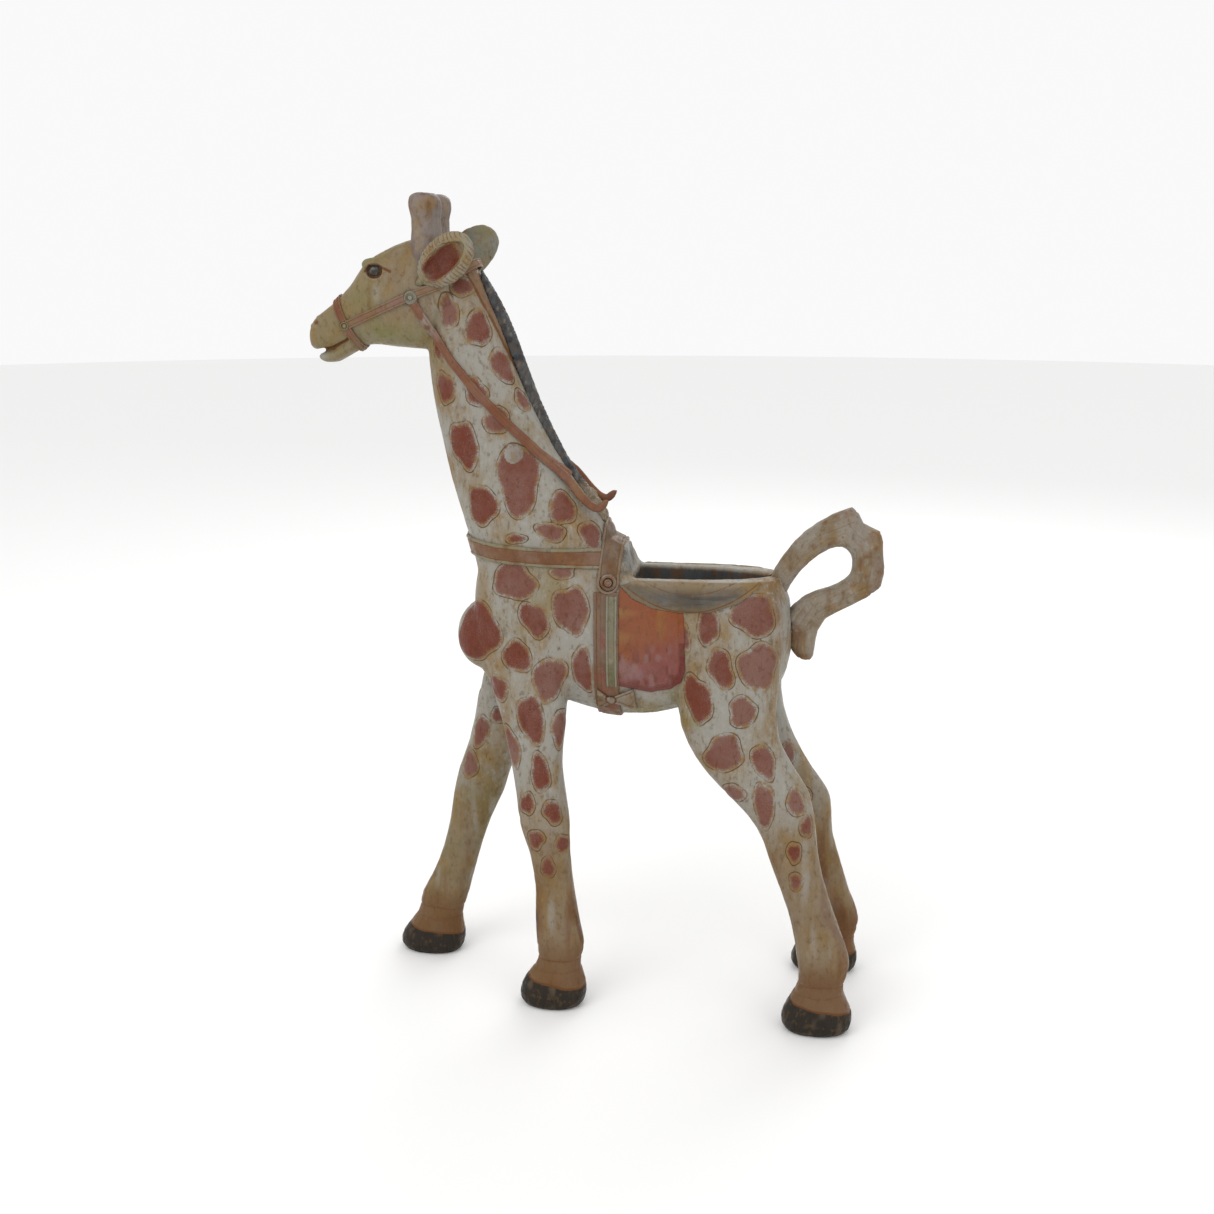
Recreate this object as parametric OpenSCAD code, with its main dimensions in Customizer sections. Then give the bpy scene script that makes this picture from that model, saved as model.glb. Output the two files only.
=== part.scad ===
// Carved and painted giraffe with carousel tack and a trough hollowed in its back.
// It stands on z = 0 and faces -X, with its left side towards -Y. Millimetres.

/* [Trunk] */
// Greatest width of the trunk
trunk_w = 124; // [116:2:132]
// Height of the trough rim above the floor
rim_z = 546; // [542:1:550]
// Width of the trough at its widest
trough_w = 76; // [60:2:80]
// Depth of the trough below the rim
trough_depth = 95; // [60:5:110]

/* [Neck and head] */
// Width of the neck where it leaves the chest
neck_w = 108; // [96:2:116]
// Width of the head across the cheeks
head_w = 76; // [68:2:82]
// Diameter of the knob on each horn
horn_d = 38; // [34:1:40]
// Length of each ear
ear_len = 78; // [66:2:84]
// Thickness of the tail ring
tail_t = 26; // [20:1:30]

/* [Legs] */
// Width of each hoof
hoof_w = 60; // [52:2:64]
// Width of the front legs below the trunk
front_leg_w = 54; // [48:2:58]
// Width of the rear legs below the trunk
rear_leg_w = 60; // [52:2:64]

/* [Tack] */
// Thickness of the girth, the breast strap and the withers strap
strap_t = 3; // [2:0.5:4]
// Width of the breast strap
strap_w = 22; // [18:1:26]
// Thickness of the halter and the reins
rein_t = 2.5; // [2:0.5:3.5]
// Width of the reins
rein_w = 9; // [7:0.5:11]
// Diameter of the round boss on each shoulder
boss_d = 21; // [18:1:24]

/* [Joinery] */
// Diameter of the dowels at the hips and in the neck
big_dowel_d = 18; // [14:1:20]
// Diameter of the dowels at the knees, in the trunk and in the tail
dowel_d = 12; // [8:1:14]
// Diameter of the dowels in the hooves
hoof_dowel_d = 10; // [8:1:12]
// Room for glue around a dowel
glue_room = 0.1; // [0.05:0.05:0.2]

/* [Hidden] */

// The nose and the tail are equally far from the middle of the frame.
center_x = 15;
$fn = 48;
$grow = 0;

// Glue planes between the blocks
chest_x = 36;
rump_x = 188;
floor_z = rim_z - trough_depth;
hip_z = 392;
knee_z = 245;
hoof_z = 36;
neck_z = 575;
throat = [-213, 803];
poll = [-158, 935];
head_tilt = atan2(poll[1] - throat[1], poll[0] - throat[0]);
head_mid = (throat + poll) / 2;

// A station is one cross-section of a carved form. It runs from one edge to the other in the
// side view, x1, z1 to x2, z2, and spreads by a half width w to both sides of y. The last
// number is its fullness: 2 is an ellipse, and more is squarer.
wt = trunk_w / 2;
wn = neck_w / 2;
wh = head_w / 2;
wf = front_leg_w / 2;
wr = rear_leg_w / 2;
wo = hoof_w / 2;

trunk_line = [
    [-158, 430, -158, 535, 0, 0.45 * wt, 2],
    [-146, 404, -146, 578, 0, 0.75 * wt, 2.2],
    [-115, 394, -115, 598, 0, 0.93 * wt, 2.4],
    [-75, 392, -75, 601, 0, wt, 2.4],
    [-35, 380, -35, 600, 0, wt, 2.4],
    [0, 371, 0, 595, 0, wt, 2.4],
    [32, 370, 32, 579, 0, wt, 2.5],
    [62, 373, 62, 576, 0, wt, 2.6],
    [95, 382, 95, 573, 0, wt, 2.6],
    [130, 393, 130, 573, 0, 0.98 * wt, 2.6],
    [165, 396, 165, 571, 0, 0.92 * wt, 2.5],
    [195, 400, 195, 562, 0, 0.8 * wt, 2.4],
    [210, 412, 210, 546, 0, 0.62 * wt, 2.2],
    [219, 434, 219, 518, 0, 0.38 * wt, 2],
    [223, 458, 223, 494, 0, 0.15 * wt, 2]
];

neck_line = [
    [-146, 500, 8, 545, 0, 0.9 * wn, 2.2],
    [-157, 545, 10, 584, 0, wn, 2.4],
    [-164, 578, 0, 608, 0, 0.99 * wn, 2.6],
    [-174, 613, -25, 643, 0, 0.91 * wn, 2.6],
    [-187, 655, -50, 677, 0, 0.83 * wn, 2.4],
    [-197, 700, -71, 713, 0, 0.76 * wn, 2.2],
    [-206, 745, -90, 750, 0, 0.71 * wn, 2.1],
    [-211, 790, -106, 790, 0, 0.68 * wn, 2.1],
    [-211, 835, -121, 830, 0, 0.65 * wn, 2],
    [-198, 875, -137, 866, 0, 0.57 * wn, 2],
    [-178, 902, -149, 894, 0, 0.38 * wn, 2],
    [-167, 911, -157, 907, 0, 0.14 * wn, 2]
];

head_line = [
    [-355, 819, -354, 831, 0, 0.2 * wh, 2],
    [-353, 808, -348, 842, 0, 0.48 * wh, 2.2],
    [-342, 804, -336, 851, 0, 0.62 * wh, 2.4],
    [-321, 805, -321, 863, 0, 0.6 * wh, 2.3],
    [-299, 809, -301, 883, 0, 0.66 * wh, 2.2],
    [-278, 812, -284, 906, 0, 0.8 * wh, 2.2],
    [-255, 810, -261, 920, 0, 0.93 * wh, 2.2],
    [-232, 808, -236, 930, 0, wh, 2.2],
    [-208, 807, -206, 936, 0, 0.97 * wh, 2.2],
    [-183, 815, -176, 931, 0, 0.9 * wh, 2.1],
    [-163, 840, -152, 914, 0, 0.7 * wh, 2],
    [-154, 862, -146, 892, 0, 0.35 * wh, 2]
];

lip_line = [
    [-345, 795, -345, 800, 0, 0.2 * wh, 2],
    [-338, 791, -338, 803, 0, 0.36 * wh, 2],
    [-322, 792, -322, 809, 0, 0.42 * wh, 2],
    [-304, 802, -304, 818, 0, 0.42 * wh, 2],
    [-290, 808, -290, 822, 0, 0.3 * wh, 2]
];

mane_line = [
    [-160, 895, -151, 906, 0, 4, 2],
    [-156, 880, -141, 890, 0, 8, 2.4],
    [-144, 850, -123, 860, 0, 9, 2.4],
    [-130, 815, -106, 822, 0, 9, 2.4],
    [-104, 747, -80, 751, 0, 9, 2.4],
    [-76, 682, -48, 685, 0, 10, 2.4],
    [-46, 638, -20, 645, 0, 12, 2.4],
    [-22, 604, -3, 624, 0, 16, 2.2],
    [-14, 590, 4, 602, 0, 14, 2],
    [-8, 584, -1, 589, 0, 6, 2]
];

// The tail leaves the rump, bends round an opening and hangs back against the rump.
tail_line = [
    [206, 503, 188, 530, 0, 0.4 * tail_t, 2.4],
    [220, 534, 201, 556, 0, 0.5 * tail_t, 2.4],
    [241, 563, 222, 586, 0, 0.5 * tail_t, 2.4],
    [264, 580, 248, 610, 0, 0.5 * tail_t, 2.4],
    [279, 582, 288, 630, 0, 0.5 * tail_t, 2.4],
    [287, 576, 302, 611, 0, 0.46 * tail_t, 2.4],
    [291, 567, 322, 602, 0, 0.46 * tail_t, 2.4],
    [290, 554, 327, 571, 0, 0.5 * tail_t, 2.4],
    [283, 544, 326, 536, 0, 0.5 * tail_t, 2.4],
    [265, 534, 291, 512, 0, 0.5 * tail_t, 2.4],
    [238, 523, 262, 495, 0, 0.5 * tail_t, 2.4],
    [216, 501, 252, 470, 0, 0.5 * tail_t, 2.4],
    [218, 466, 250, 450, 0, 0.42 * tail_t, 2.2],
    [231, 446, 245, 443, 0, 0.2 * tail_t, 2]
];

// Legs, from inside the trunk down to the sole
front_left_line = [
    [-125, 480, -54, 490, -30, 0.7 * wf, 2],
    [-142, 440, -46, 445, -36, wf, 2.2],
    [-131, hip_z, -42, hip_z, -40, wf, 2.3],
    [-120, 355, -45, 358, -44, 0.93 * wf, 2.3],
    [-110, 312, -48, 314, -49, 0.85 * wf, 2.3],
    [-104, 272, -43, 274, -53, 0.81 * wf, 2.3],
    [-100, 236, -38, 240, -55, 0.81 * wf, 2.3],
    [-88, 202, -38, 205, -57, 0.73 * wf, 2.3],
    [-81, 155, -33, 155, -58, 0.7 * wf, 2.3],
    [-81, 112, -26, 112, -59, 0.73 * wf, 2.3],
    [-80, 80, -20, 82, -60, 0.79 * wf, 2.3],
    [-78, 58, -25, 59, -60, 0.74 * wf, 2.3],
    [-89, 42, -22, 42, -60, 0.82 * wo, 2.3],
    [-99, 26, -18, 27, -60, 0.95 * wo, 2.3],
    [-102, 13, -18, 13, -60, wo, 2.3],
    [-99, 4, -21, 4, -60, 0.93 * wo, 2.3],
    [-95, 0, -25, 0, -60, 0.82 * wo, 2.3]
];

front_right_line = [
    [-130, 480, -60, 490, 30, 0.7 * wf, 2],
    [-150, 440, -55, 445, 36, wf, 2.2],
    [-167, hip_z, -68, hip_z, 40, wf, 2.3],
    [-176, 348, -92, 350, 45, 0.93 * wf, 2.3],
    [-187, 305, -115, 306, 50, 0.85 * wf, 2.3],
    [-202, 265, -133, 268, 54, 0.81 * wf, 2.3],
    [-211, 228, -145, 232, 56, 0.81 * wf, 2.3],
    [-217, 192, -162, 196, 58, 0.73 * wf, 2.3],
    [-228, 150, -177, 152, 60, 0.7 * wf, 2.3],
    [-243, 112, -189, 112, 61, 0.73 * wf, 2.3],
    [-260, 80, -197, 80, 62, 0.79 * wf, 2.3],
    [-264, 58, -205, 58, 62, 0.74 * wf, 2.3],
    [-275, 40, -206, 41, 62, 0.82 * wo, 2.3],
    [-287, 24, -203, 25, 62, 0.95 * wo, 2.3],
    [-291, 12, -204, 12, 62, wo, 2.3],
    [-288, 4, -207, 4, 62, 0.93 * wo, 2.3],
    [-283, 0, -211, 0, 62, 0.82 * wo, 2.3]
];

rear_left_line = [
    [122, 505, 200, 500, -28, 0.7 * wr, 2],
    [94, 450, 213, 450, -36, wr, 2.2],
    [90, hip_z, 209, hip_z, -42, wr, 2.3],
    [104, 350, 214, 355, -47, 0.93 * wr, 2.3],
    [128, 315, 232, 324, -53, 0.87 * wr, 2.3],
    [163, 282, 250, 298, -59, 0.8 * wr, 2.3],
    [190, 252, 258, 266, -64, 0.77 * wr, 2.3],
    [203, 222, 262, 232, -68, 0.73 * wr, 2.3],
    [215, 190, 270, 194, -71, 0.68 * wr, 2.3],
    [230, 150, 284, 152, -74, 0.66 * wr, 2.3],
    [240, 110, 300, 110, -77, 0.7 * wr, 2.3],
    [243, 84, 306, 86, -78, 0.74 * wr, 2.3],
    [245, 60, 299, 60, -78, 0.7 * wr, 2.3],
    [238, 44, 302, 44, -78, 0.82 * wo, 2.3],
    [229, 27, 310, 27, -78, 0.95 * wo, 2.3],
    [225, 13, 311, 13, -78, wo, 2.3],
    [228, 4, 308, 4, -78, 0.93 * wo, 2.3],
    [232, 0, 303, 0, -78, 0.82 * wo, 2.3]
];

rear_right_line = [
    [122, 505, 200, 500, 28, 0.7 * wr, 2],
    [94, 450, 213, 450, 36, wr, 2.2],
    [92, hip_z, 213, hip_z, 42, wr, 2.3],
    [106, 350, 222, 352, 47, 0.93 * wr, 2.3],
    [130, 315, 238, 314, 53, 0.87 * wr, 2.3],
    [165, 282, 256, 282, 60, 0.8 * wr, 2.3],
    [195, 255, 276, 252, 66, 0.77 * wr, 2.3],
    [210, 225, 281, 226, 70, 0.73 * wr, 2.3],
    [222, 190, 284, 190, 73, 0.68 * wr, 2.3],
    [235, 150, 296, 150, 76, 0.66 * wr, 2.3],
    [246, 112, 308, 112, 78, 0.7 * wr, 2.3],
    [250, 76, 322, 74, 78, 0.76 * wr, 2.3],
    [254, 52, 318, 50, 78, 0.7 * wr, 2.3],
    [249, 38, 317, 38, 78, 0.82 * wo, 2.3],
    [239, 24, 322, 24, 78, 0.95 * wo, 2.3],
    [235, 12, 322, 12, 78, wo, 2.3],
    [238, 4, 319, 4, 78, 0.93 * wo, 2.3],
    [243, 0, 314, 0, 78, 0.82 * wo, 2.3]
];

legs = [front_left_line, front_right_line, rear_left_line, rear_right_line];
// Where the vertical dowels stand at the hip, the knee and the hoof, as x and y
hip_at = [[-88, -40], [-120, 40], [150, -42], [152, 42]];
knee_at = [[-71, -54], [-175, 55], [227, -66], [240, 68]];
hoof_at = [[-52, -60], [-238, 62], [271, -78], [284, 78]];
neck_at = [-115, -50];
// How far the dowels reach to either side of their glue plane
hip_reach = 40;
knee_reach = 28;
hoof_reach = 24;
head_reach = 32;
trunk_reach = 20;

// Routes of the straps over the surface, in the side view
noseband_route = [[-324, 876], [-306, 834], [-284, 796]];
cheek_route = [[-306, 834], [-224, 868], [-188, 881], [-140, 912]];
rein_route = [
    [-222, 866], [-202, 832], [-178, 797], [-144, 757], [-109, 722], [-74, 689], [-42, 662]
];
rein_end = [
    [-64, 674, -58, 681, -31, 3, 2],
    [-45, 657, -39, 665, -33, 4, 2],
    [-31, 640, -26, 649, -35, 4, 2],
    [-17, 627, -14, 636, -36, 4, 2],
    [-5, 623, -6, 632, -36, 4, 2],
    [4, 629, -3, 634, -36, 3, 2],
    [7, 637, 2, 637, -36, 1.5, 2]
];
breast_route = [[-190, 581], [-125, 573], [-60, 570], [-1, 570]];
boss_at = [9, 543];
ring_at = [-306, 834];
ring_d = 10;
rosette_at = [-222, 867];
rosette_d = 15;
// Depth of the seats under the bosses, rings and rosettes, measured out from y = 0
boss_seat = 44;
ring_seat = 19;
rosette_seat = 33;
// Below this height the tail lies on the rump, and above it the tail is let into the rump.
tail_seat_z = 498;
girth_x = [-7, 22];
overlay_x = [8, 20];
overlay_z = [418, 528];
bow_t = 6;
cloth_t = 2;
eye_at = [-267, 20, 896];
eye_r = 8.5;
horn_at = [-206, 15];
// How far each horn leans outwards for each millimetre of its height
horn_lean = 0.14;
horn_seat_z = 918;
horn_top_z = 983;
// Left and right ear: root, way to the tip, and way across the hollow
ear_root = [[-205, 34, 889], [-197, 34, 892]];
ear_axis = [[0.72, 0.38, 0.52], [0.66, 0.4, 0.65]];
ear_up = [[-0.58, 0.03, 0.78], [-0.7, -0.02, 0.73]];

function unit(v) = v / norm(v);

// Catmull-Rom curve through p1 and p2
function curve(p0, p1, p2, p3, t) =
    0.5 * (2 * p1 + (p2 - p0) * t + (2 * p0 - 5 * p1 + 4 * p2 - p3) * t * t
    + (3 * p1 - p0 - 3 * p2 + p3) * t * t * t);

function smooth(line, steps) =
    let (last = len(line) - 1)
    [
        for (i = [0 : last - 1], j = [0 : steps - 1])
            curve(line[max(i - 1, 0)], line[i], line[i + 1], line[min(i + 2, last)], j / steps),
        line[last]
    ];

function full(v, fullness) = sign(v) * pow(abs(v), 2 / fullness);

function ring(s, grow, sides) =
    let (
        mid = [(s[0] + s[2]) / 2, s[4], (s[1] + s[3]) / 2],
        half = [s[2] - s[0], 0, s[3] - s[1]] / 2,
        reach = half + grow * unit(half)
    )
    [
        for (i = [0 : sides - 1])
            mid + reach * full(cos(360 * i / sides), s[6])
            + [0, (s[5] + grow) * full(sin(360 * i / sides), s[6]), 0]
    ];

// True when the stations run against the turning sense of their rings.
function backwards(line) =
    let (
        a = line[0],
        b = line[1],
        along = [b[0] + b[2] - a[0] - a[2], 0, b[1] + b[3] - a[1] - a[3]],
        across = cross([a[2] - a[0], 0, a[3] - a[1]], [0, 1, 0])
    )
    across * along < 0;

function reversed(list) = [for (i = [len(list) - 1 : -1 : 0]) list[i]];

// A closed form carved through a line of stations, $grow thicker all round
module carve(line, steps = 2, sides = 20) {
    ordered = backwards(line) ? reversed(line) : line;
    stations = smooth(ordered, steps);
    last = len(stations) - 1;
    points = [for (s = stations) each ring(s, $grow, sides)];
    walls = [
        for (i = [0 : last - 1], j = [0 : sides - 1])
            let (
                k = (j + 1) % sides,
                a = i * sides + j,
                b = i * sides + k,
                c = (i + 1) * sides + k,
                d = (i + 1) * sides + j
            )
            each [[a, d, c], [a, c, b]]
    ];
    first_cap = [for (j = [0 : sides - 1]) j];
    last_cap = [for (j = [sides - 1 : -1 : 0]) last * sides + j];
    polyhedron(points, concat(walls, [first_cap, last_cap]));
}

// A flat outline of the side view, as thick as y says
module slab(y = [-200, 200]) {
    translate([0, y[1], 0])
        rotate([90, 0, 0])
            linear_extrude(y[1] - y[0])
                children();
}

module region(x = [-500, 500], y = [-200, 200], z = [-100, 1100]) {
    translate([x[0], y[0], z[0]])
        cube([x[1] - x[0], y[1] - y[0], z[1] - z[0]]);
}

// The outline of a strap of even width along a route
module band(route, width) {
    last = len(route) - 1;
    along = [for (i = [0 : last]) unit(route[min(i + 1, last)] - route[max(i - 1, 0)])];
    aside = [for (a = along) [-a[1], a[0]] * width / 2];
    polygon([
        for (i = [0 : last]) route[i] + aside[i],
        for (i = [last : -1 : 0]) route[i] - aside[i]
    ]);
}

// A piece of even thickness lying on a form: the first child is its outline, the second the form
module relief(from, to, y = [-200, 200]) {
    difference() {
        intersection() {
            let ($grow = to) children(1);
            slab(y) children(0);
        }
        let ($grow = from) children(1);
    }
}

// Keeps a carved block as one shell of flat facets
module block() {
    resize([0, 0, 0])
        children();
}

// A round hole from a side of the figure down to depth y
module seat(at, d, y) {
    mirrored()
        translate([at[0], -y, at[1]])
            rotate([90, 0, 0])
                cylinder(d = d + 2 * glue_room, h = 100);
}

module mirrored() {
    children();
    mirror([0, 1, 0])
        children();
}

// Whole carved forms, before they are parted into blocks
module leg_tops(lines) {
    intersection() {
        union() {
            for (line = lines) carve(line);
        }
        region(z = [hip_z, 700]);
    }
}

module front_form() {
    carve(trunk_line);
    carve(neck_line);
    translate([-150, 0, 462])
        scale([35 + $grow, 42 + $grow, 43 + $grow])
            sphere(1, $fn = 24);
    leg_tops([front_left_line, front_right_line]);
}

module rear_form() {
    carve(trunk_line);
    leg_tops([rear_left_line, rear_right_line]);
}

module head_form() {
    carve(head_line);
    carve(lip_line);
    mirrored()
        translate([-270, 19, 904])
            scale([15 + $grow, 10 + $grow, 8 + $grow])
                sphere(1, $fn = 16);
}

module head_and_neck() {
    head_form();
    carve(neck_line);
}

// Everything in front of the glue plane between head and neck
module before_neck(gap = 0) {
    translate([head_mid[0], 0, head_mid[1]])
        rotate([0, -head_tilt, 0])
            translate([-250, -200, gap])
                cube([500, 400, 400]);
}

function trough_edge(t) = trough_w / 2 * pow(1 - pow(t, 2.6), 0.62);

module trough() {
    trough_len = 164;
    steps = 14;
    side = [
        [chest_x - 0.01, trough_w / 2],
        for (i = [0 : steps]) [chest_x + trough_len * i / steps, trough_edge(i / steps)]
    ];
    translate([0, 0, floor_z])
        linear_extrude(200)
            polygon([
                each side,
                for (i = [len(side) - 2 : -1 : 0]) [side[i][0], -side[i][1]]
            ]);
}

// The rim is flat, and the withers drop to it in a short hollow curve.
module above_rim() {
    slab()
        polygon([
            [25.5, 700], [25.5, 590], [28, 568], [chest_x - 3, 552], [chest_x + 2, rim_z],
            [260, rim_z], [260, 700]
        ]);
}

module trunk_part(x, y, z) {
    block()
        difference() {
            intersection() {
                rear_form();
                region(x, y, z);
            }
            trough();
            above_rim();
            intersection() {
                tail_shape();
                region(z = [tail_seat_z, 700]);
            }
        }
}

module tail_shape() {
    carve(tail_line, 2, 14);
}

module trunk_left_side() {
    color("burlywood")
        difference() {
            trunk_part([chest_x, rump_x], [-120, 0], [floor_z, 600]);
            trunk_dowel_set(glue_room);
        }
}

module trunk_right_side() {
    color("burlywood")
        difference() {
            trunk_part([chest_x, rump_x], [0, 120], [floor_z, 600]);
            trunk_dowel_set(glue_room);
        }
}

module trunk_floor() {
    color("darkkhaki")
        difference() {
            block()
                intersection() {
                    rear_form();
                    region([chest_x, rump_x], [-120, 120], [300, floor_z]);
                }
            trunk_dowel_set(glue_room);
            hip_dowel_set(glue_room);
        }
}

module rump_block() {
    color("wheat")
        difference() {
            trunk_part([rump_x, 260], [-120, 120], [hip_z, 600]);
            trunk_dowel_set(glue_room);
            tail_dowel_set(glue_room);
        }
}

module chest_block() {
    color("wheat")
        difference() {
            block()
                difference() {
                    intersection() {
                        front_form();
                        region([-300, chest_x], [-120, 120], [300, neck_z]);
                    }
                    above_rim();
                }
            trunk_dowel_set(glue_room);
            hip_dowel_set(glue_room);
            neck_dowel_set(glue_room);
            boss_seats();
        }
}

module neck_block() {
    color("wheat")
        difference() {
            block()
                difference() {
                    intersection() {
                        front_form();
                        region([-300, chest_x], [-120, 120], [neck_z, 1000]);
                    }
                    before_neck();
                    above_rim();
                }
            neck_dowel_set(glue_room);
            head_dowel_shape(glue_room);
        }
}

module mouth() {
    slab([-60, 60])
        polygon([[-375, 800], [-343, 802.5], [-308, 817], [-343, 806], [-375, 808]]);
}

module head_block() {
    color("darkkhaki")
        difference() {
            block()
                difference() {
                    intersection() {
                        head_form();
                        before_neck();
                    }
                    mouth();
                    for (i = [0, 1]) {
                        horn_peg(i, glue_room);
                        ear_peg(i, glue_room);
                    }
                    mirrored() eye(0);
                }
            head_dowel_shape(glue_room);
            ring_seats();
        }
}

module eye(room) {
    translate([eye_at[0], -eye_at[1], eye_at[2]])
        sphere(eye_r + room, $fn = 32);
}

module eyes() {
    color("darkslategray")
        mirrored() eye(0);
}

module on_side(i) {
    if (i == 0)
        mirror([0, 1, 0])
            children();
    else
        children();
}

module horn_peg(i, room = 0) {
    on_side(i)
        translate([horn_at[0], horn_at[1], horn_seat_z - 18])
            cylinder(r = 7 + room, h = 30, $fn = 24);
}

// The foot of the horn spreads over the skull and is scribed to it and to the ear.
module horn_shape() {
    knob = horn_d / 2;
    intersection() {
        translate([horn_at[0], horn_at[1], 0])
            multmatrix([
                [1, 0, 0, 0],
                [0, 1, horn_lean, -horn_lean * horn_seat_z],
                [0, 0, 1, 0],
                [0, 0, 0, 1]
            ])
                rotate_extrude($fn = 48)
                    polygon([
                        [0, horn_seat_z - 26], [0.98 * knob, horn_seat_z - 26],
                        [1.12 * knob, horn_seat_z - 16], [1.1 * knob, horn_seat_z - 4],
                        [knob, horn_seat_z + 10], [0.9 * knob, horn_seat_z + 24],
                        [0.87 * knob, horn_top_z - 28], [0.93 * knob, horn_top_z - 22],
                        [knob, horn_top_z - 15], [0.98 * knob, horn_top_z - 9],
                        [0.87 * knob, horn_top_z - 4], [0.64 * knob, horn_top_z - 1],
                        [0.35 * knob, horn_top_z], [0, horn_top_z]
                    ]);
        region(y = [0.2, 100]);
    }
}

module horn(i) {
    block()
        union() {
            difference() {
                on_side(i) horn_shape();
                head_and_neck();
                on_head(i) ear_leaf();
                halter_shape();
            }
            horn_peg(i);
        }
}

module horn_left() {
    color("tan") horn(0);
}

module horn_right() {
    color("tan") horn(1);
}

// Turns an ear so that it points back, up and out, its hollow facing outwards
module on_head(i) {
    a = unit(ear_axis[i]);
    n = unit(cross(ear_up[i], a));
    u = cross(n, a);
    on_side(i)
        translate(ear_root[i])
            multmatrix([
                [a[0], u[0], n[0], 0],
                [a[1], u[1], n[1], 0],
                [a[2], u[2], n[2], 0],
                [0, 0, 0, 1]
            ])
                children();
}

module ear_leaf() {
    k = ear_len;
    difference() {
        carve([
            [-0.05 * k, -5, -0.05 * k, 5, 0, 0.14 * k, 2],
            [0.1 * k, -9, 0.1 * k, 8, 0, 0.25 * k, 2],
            [0.38 * k, -12, 0.38 * k, 9, 0, 0.33 * k, 2.2],
            [0.7 * k, -11, 0.7 * k, 7, 0, 0.3 * k, 2.3],
            [0.93 * k, -8, 0.93 * k, 4, 0, 0.19 * k, 2.2],
            [k, -5, k, 1, 0, 0.06 * k, 2]
        ], 2, 20);
        carve([
            [0.08 * k, 3, 0.08 * k, 14, 0, 0.05 * k, 2],
            [0.25 * k, -3, 0.25 * k, 22, 0, 0.15 * k, 2],
            [0.55 * k, -5, 0.55 * k, 26, 0, 0.19 * k, 2],
            [0.8 * k, -3, 0.8 * k, 20, 0, 0.13 * k, 2],
            [0.92 * k, 0, 0.92 * k, 12, 0, 0.04 * k, 2]
        ], 2, 16);
    }
}

module ear_peg(i, room = 0) {
    on_head(i)
        translate([-14, 0, 0])
            rotate([0, 90, 0])
                cylinder(r = 6 + room, h = 20, $fn = 24);
}

module ear(i) {
    block()
        union() {
            difference() {
                on_head(i) ear_leaf();
                head_and_neck();
                halter_shape();
            }
            ear_peg(i);
        }
}

module ear_left() {
    color("khaki") ear(0);
}

module ear_right() {
    color("khaki") ear(1);
}

module mane_shape() {
    carve(mane_line, 2, 12);
}

module mane() {
    color("dimgray")
        block()
            difference() {
                mane_shape();
                carve(neck_line);
                carve(head_line);
                carve(trunk_line);
                halter_shape();
                withers_shape();
            }
}

module tail() {
    color("wheat")
        difference() {
            block()
                difference() {
                    tail_shape();
                    intersection() {
                        rear_form();
                        region([150, 300], [-120, 120], [300, tail_seat_z]);
                    }
                    trough();
                }
            tail_dowel_set(glue_room);
        }
}

module leg_part(i, z) {
    block()
        difference() {
            intersection() {
                carve(legs[i]);
                region(z = z);
            }
            carve(trunk_line);
        }
}

module upper_leg(i) {
    color("wheat")
        difference() {
            leg_part(i, [knee_z, hip_z]);
            hip_dowel_set(glue_room);
            knee_dowel_set(glue_room);
        }
}

module lower_leg(i) {
    color("tan")
        difference() {
            leg_part(i, [hoof_z, knee_z]);
            knee_dowel_set(glue_room);
            hoof_dowel_set(glue_room);
        }
}

module hoof(i) {
    color("dimgray")
        difference() {
            leg_part(i, [-1, hoof_z]);
            hoof_dowel_set(glue_room);
        }
}

// A dowel centred on a point, upright unless it is turned
module dowel(at, d, reach, room, turn = [0, 0, 0]) {
    translate(at)
        rotate(turn)
            translate([0, 0, -reach - room])
                cylinder(d = d + 2 * room, h = 2 * (reach + room));
}

module hip_dowel_set(room = 0) {
    for (at = hip_at) dowel([at[0], at[1], hip_z], big_dowel_d, hip_reach, room);
}

module knee_dowel_set(room = 0) {
    for (at = knee_at) dowel([at[0], at[1], knee_z], dowel_d, knee_reach, room);
}

module hoof_dowel_set(room = 0) {
    for (at = hoof_at) dowel([at[0], at[1], hoof_z], hoof_dowel_d, hoof_reach, room);
}

module neck_dowel_set(room = 0) {
    for (x = neck_at) dowel([x, 0, neck_z], big_dowel_d, hip_reach, room);
}

module head_dowel_shape(room = 0) {
    dowel([head_mid[0], 0, head_mid[1]], big_dowel_d, head_reach, room, [0, -head_tilt, 0]);
}

// Two dowels low in the trunk at both ends, and a thinner one in the front of each side wall
module trunk_dowel_set(room = 0) {
    for (y = [-20, 20])
        dowel([chest_x, y, floor_z - 34], dowel_d, trunk_reach, room, [0, 90, 0]);
    for (y = [-14, 14])
        dowel([rump_x, y, floor_z - 17], dowel_d, 0.75 * trunk_reach, room, [0, 90, 0]);
    for (y = [-47, 47])
        dowel([chest_x, y, floor_z + 16], 0.67 * dowel_d, trunk_reach, room, [0, 90, 0]);
}

module tail_dowel_set(room = 0) {
    dowel([217, 0, 484], dowel_d, 21, room, [0, 90, 0]);
}

module halter_shape() {
    relief(0, rein_t) {
        union() {
            band(noseband_route, rein_w);
            band(cheek_route, rein_w);
        }
        head_and_neck();
    }
}

module halter() {
    color("indianred")
        difference() {
            block() halter_shape();
            ring_seats();
        }
}

// A turned disc with a raised rim and a button, its back at depth y on the left side
module disc(at, y, d, rise) {
    translate([at[0], -y, at[1]])
        rotate([90, 0, 0])
            rotate_extrude()
                polygon([
                    [0, 0], [d / 2, 0], [d / 2, rise * 0.8], [0.42 * d, rise], [0.34 * d, rise],
                    [0.3 * d, rise * 0.75], [0.22 * d, rise * 0.75], [0.2 * d, rise], [0, rise]
                ]);
}

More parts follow.
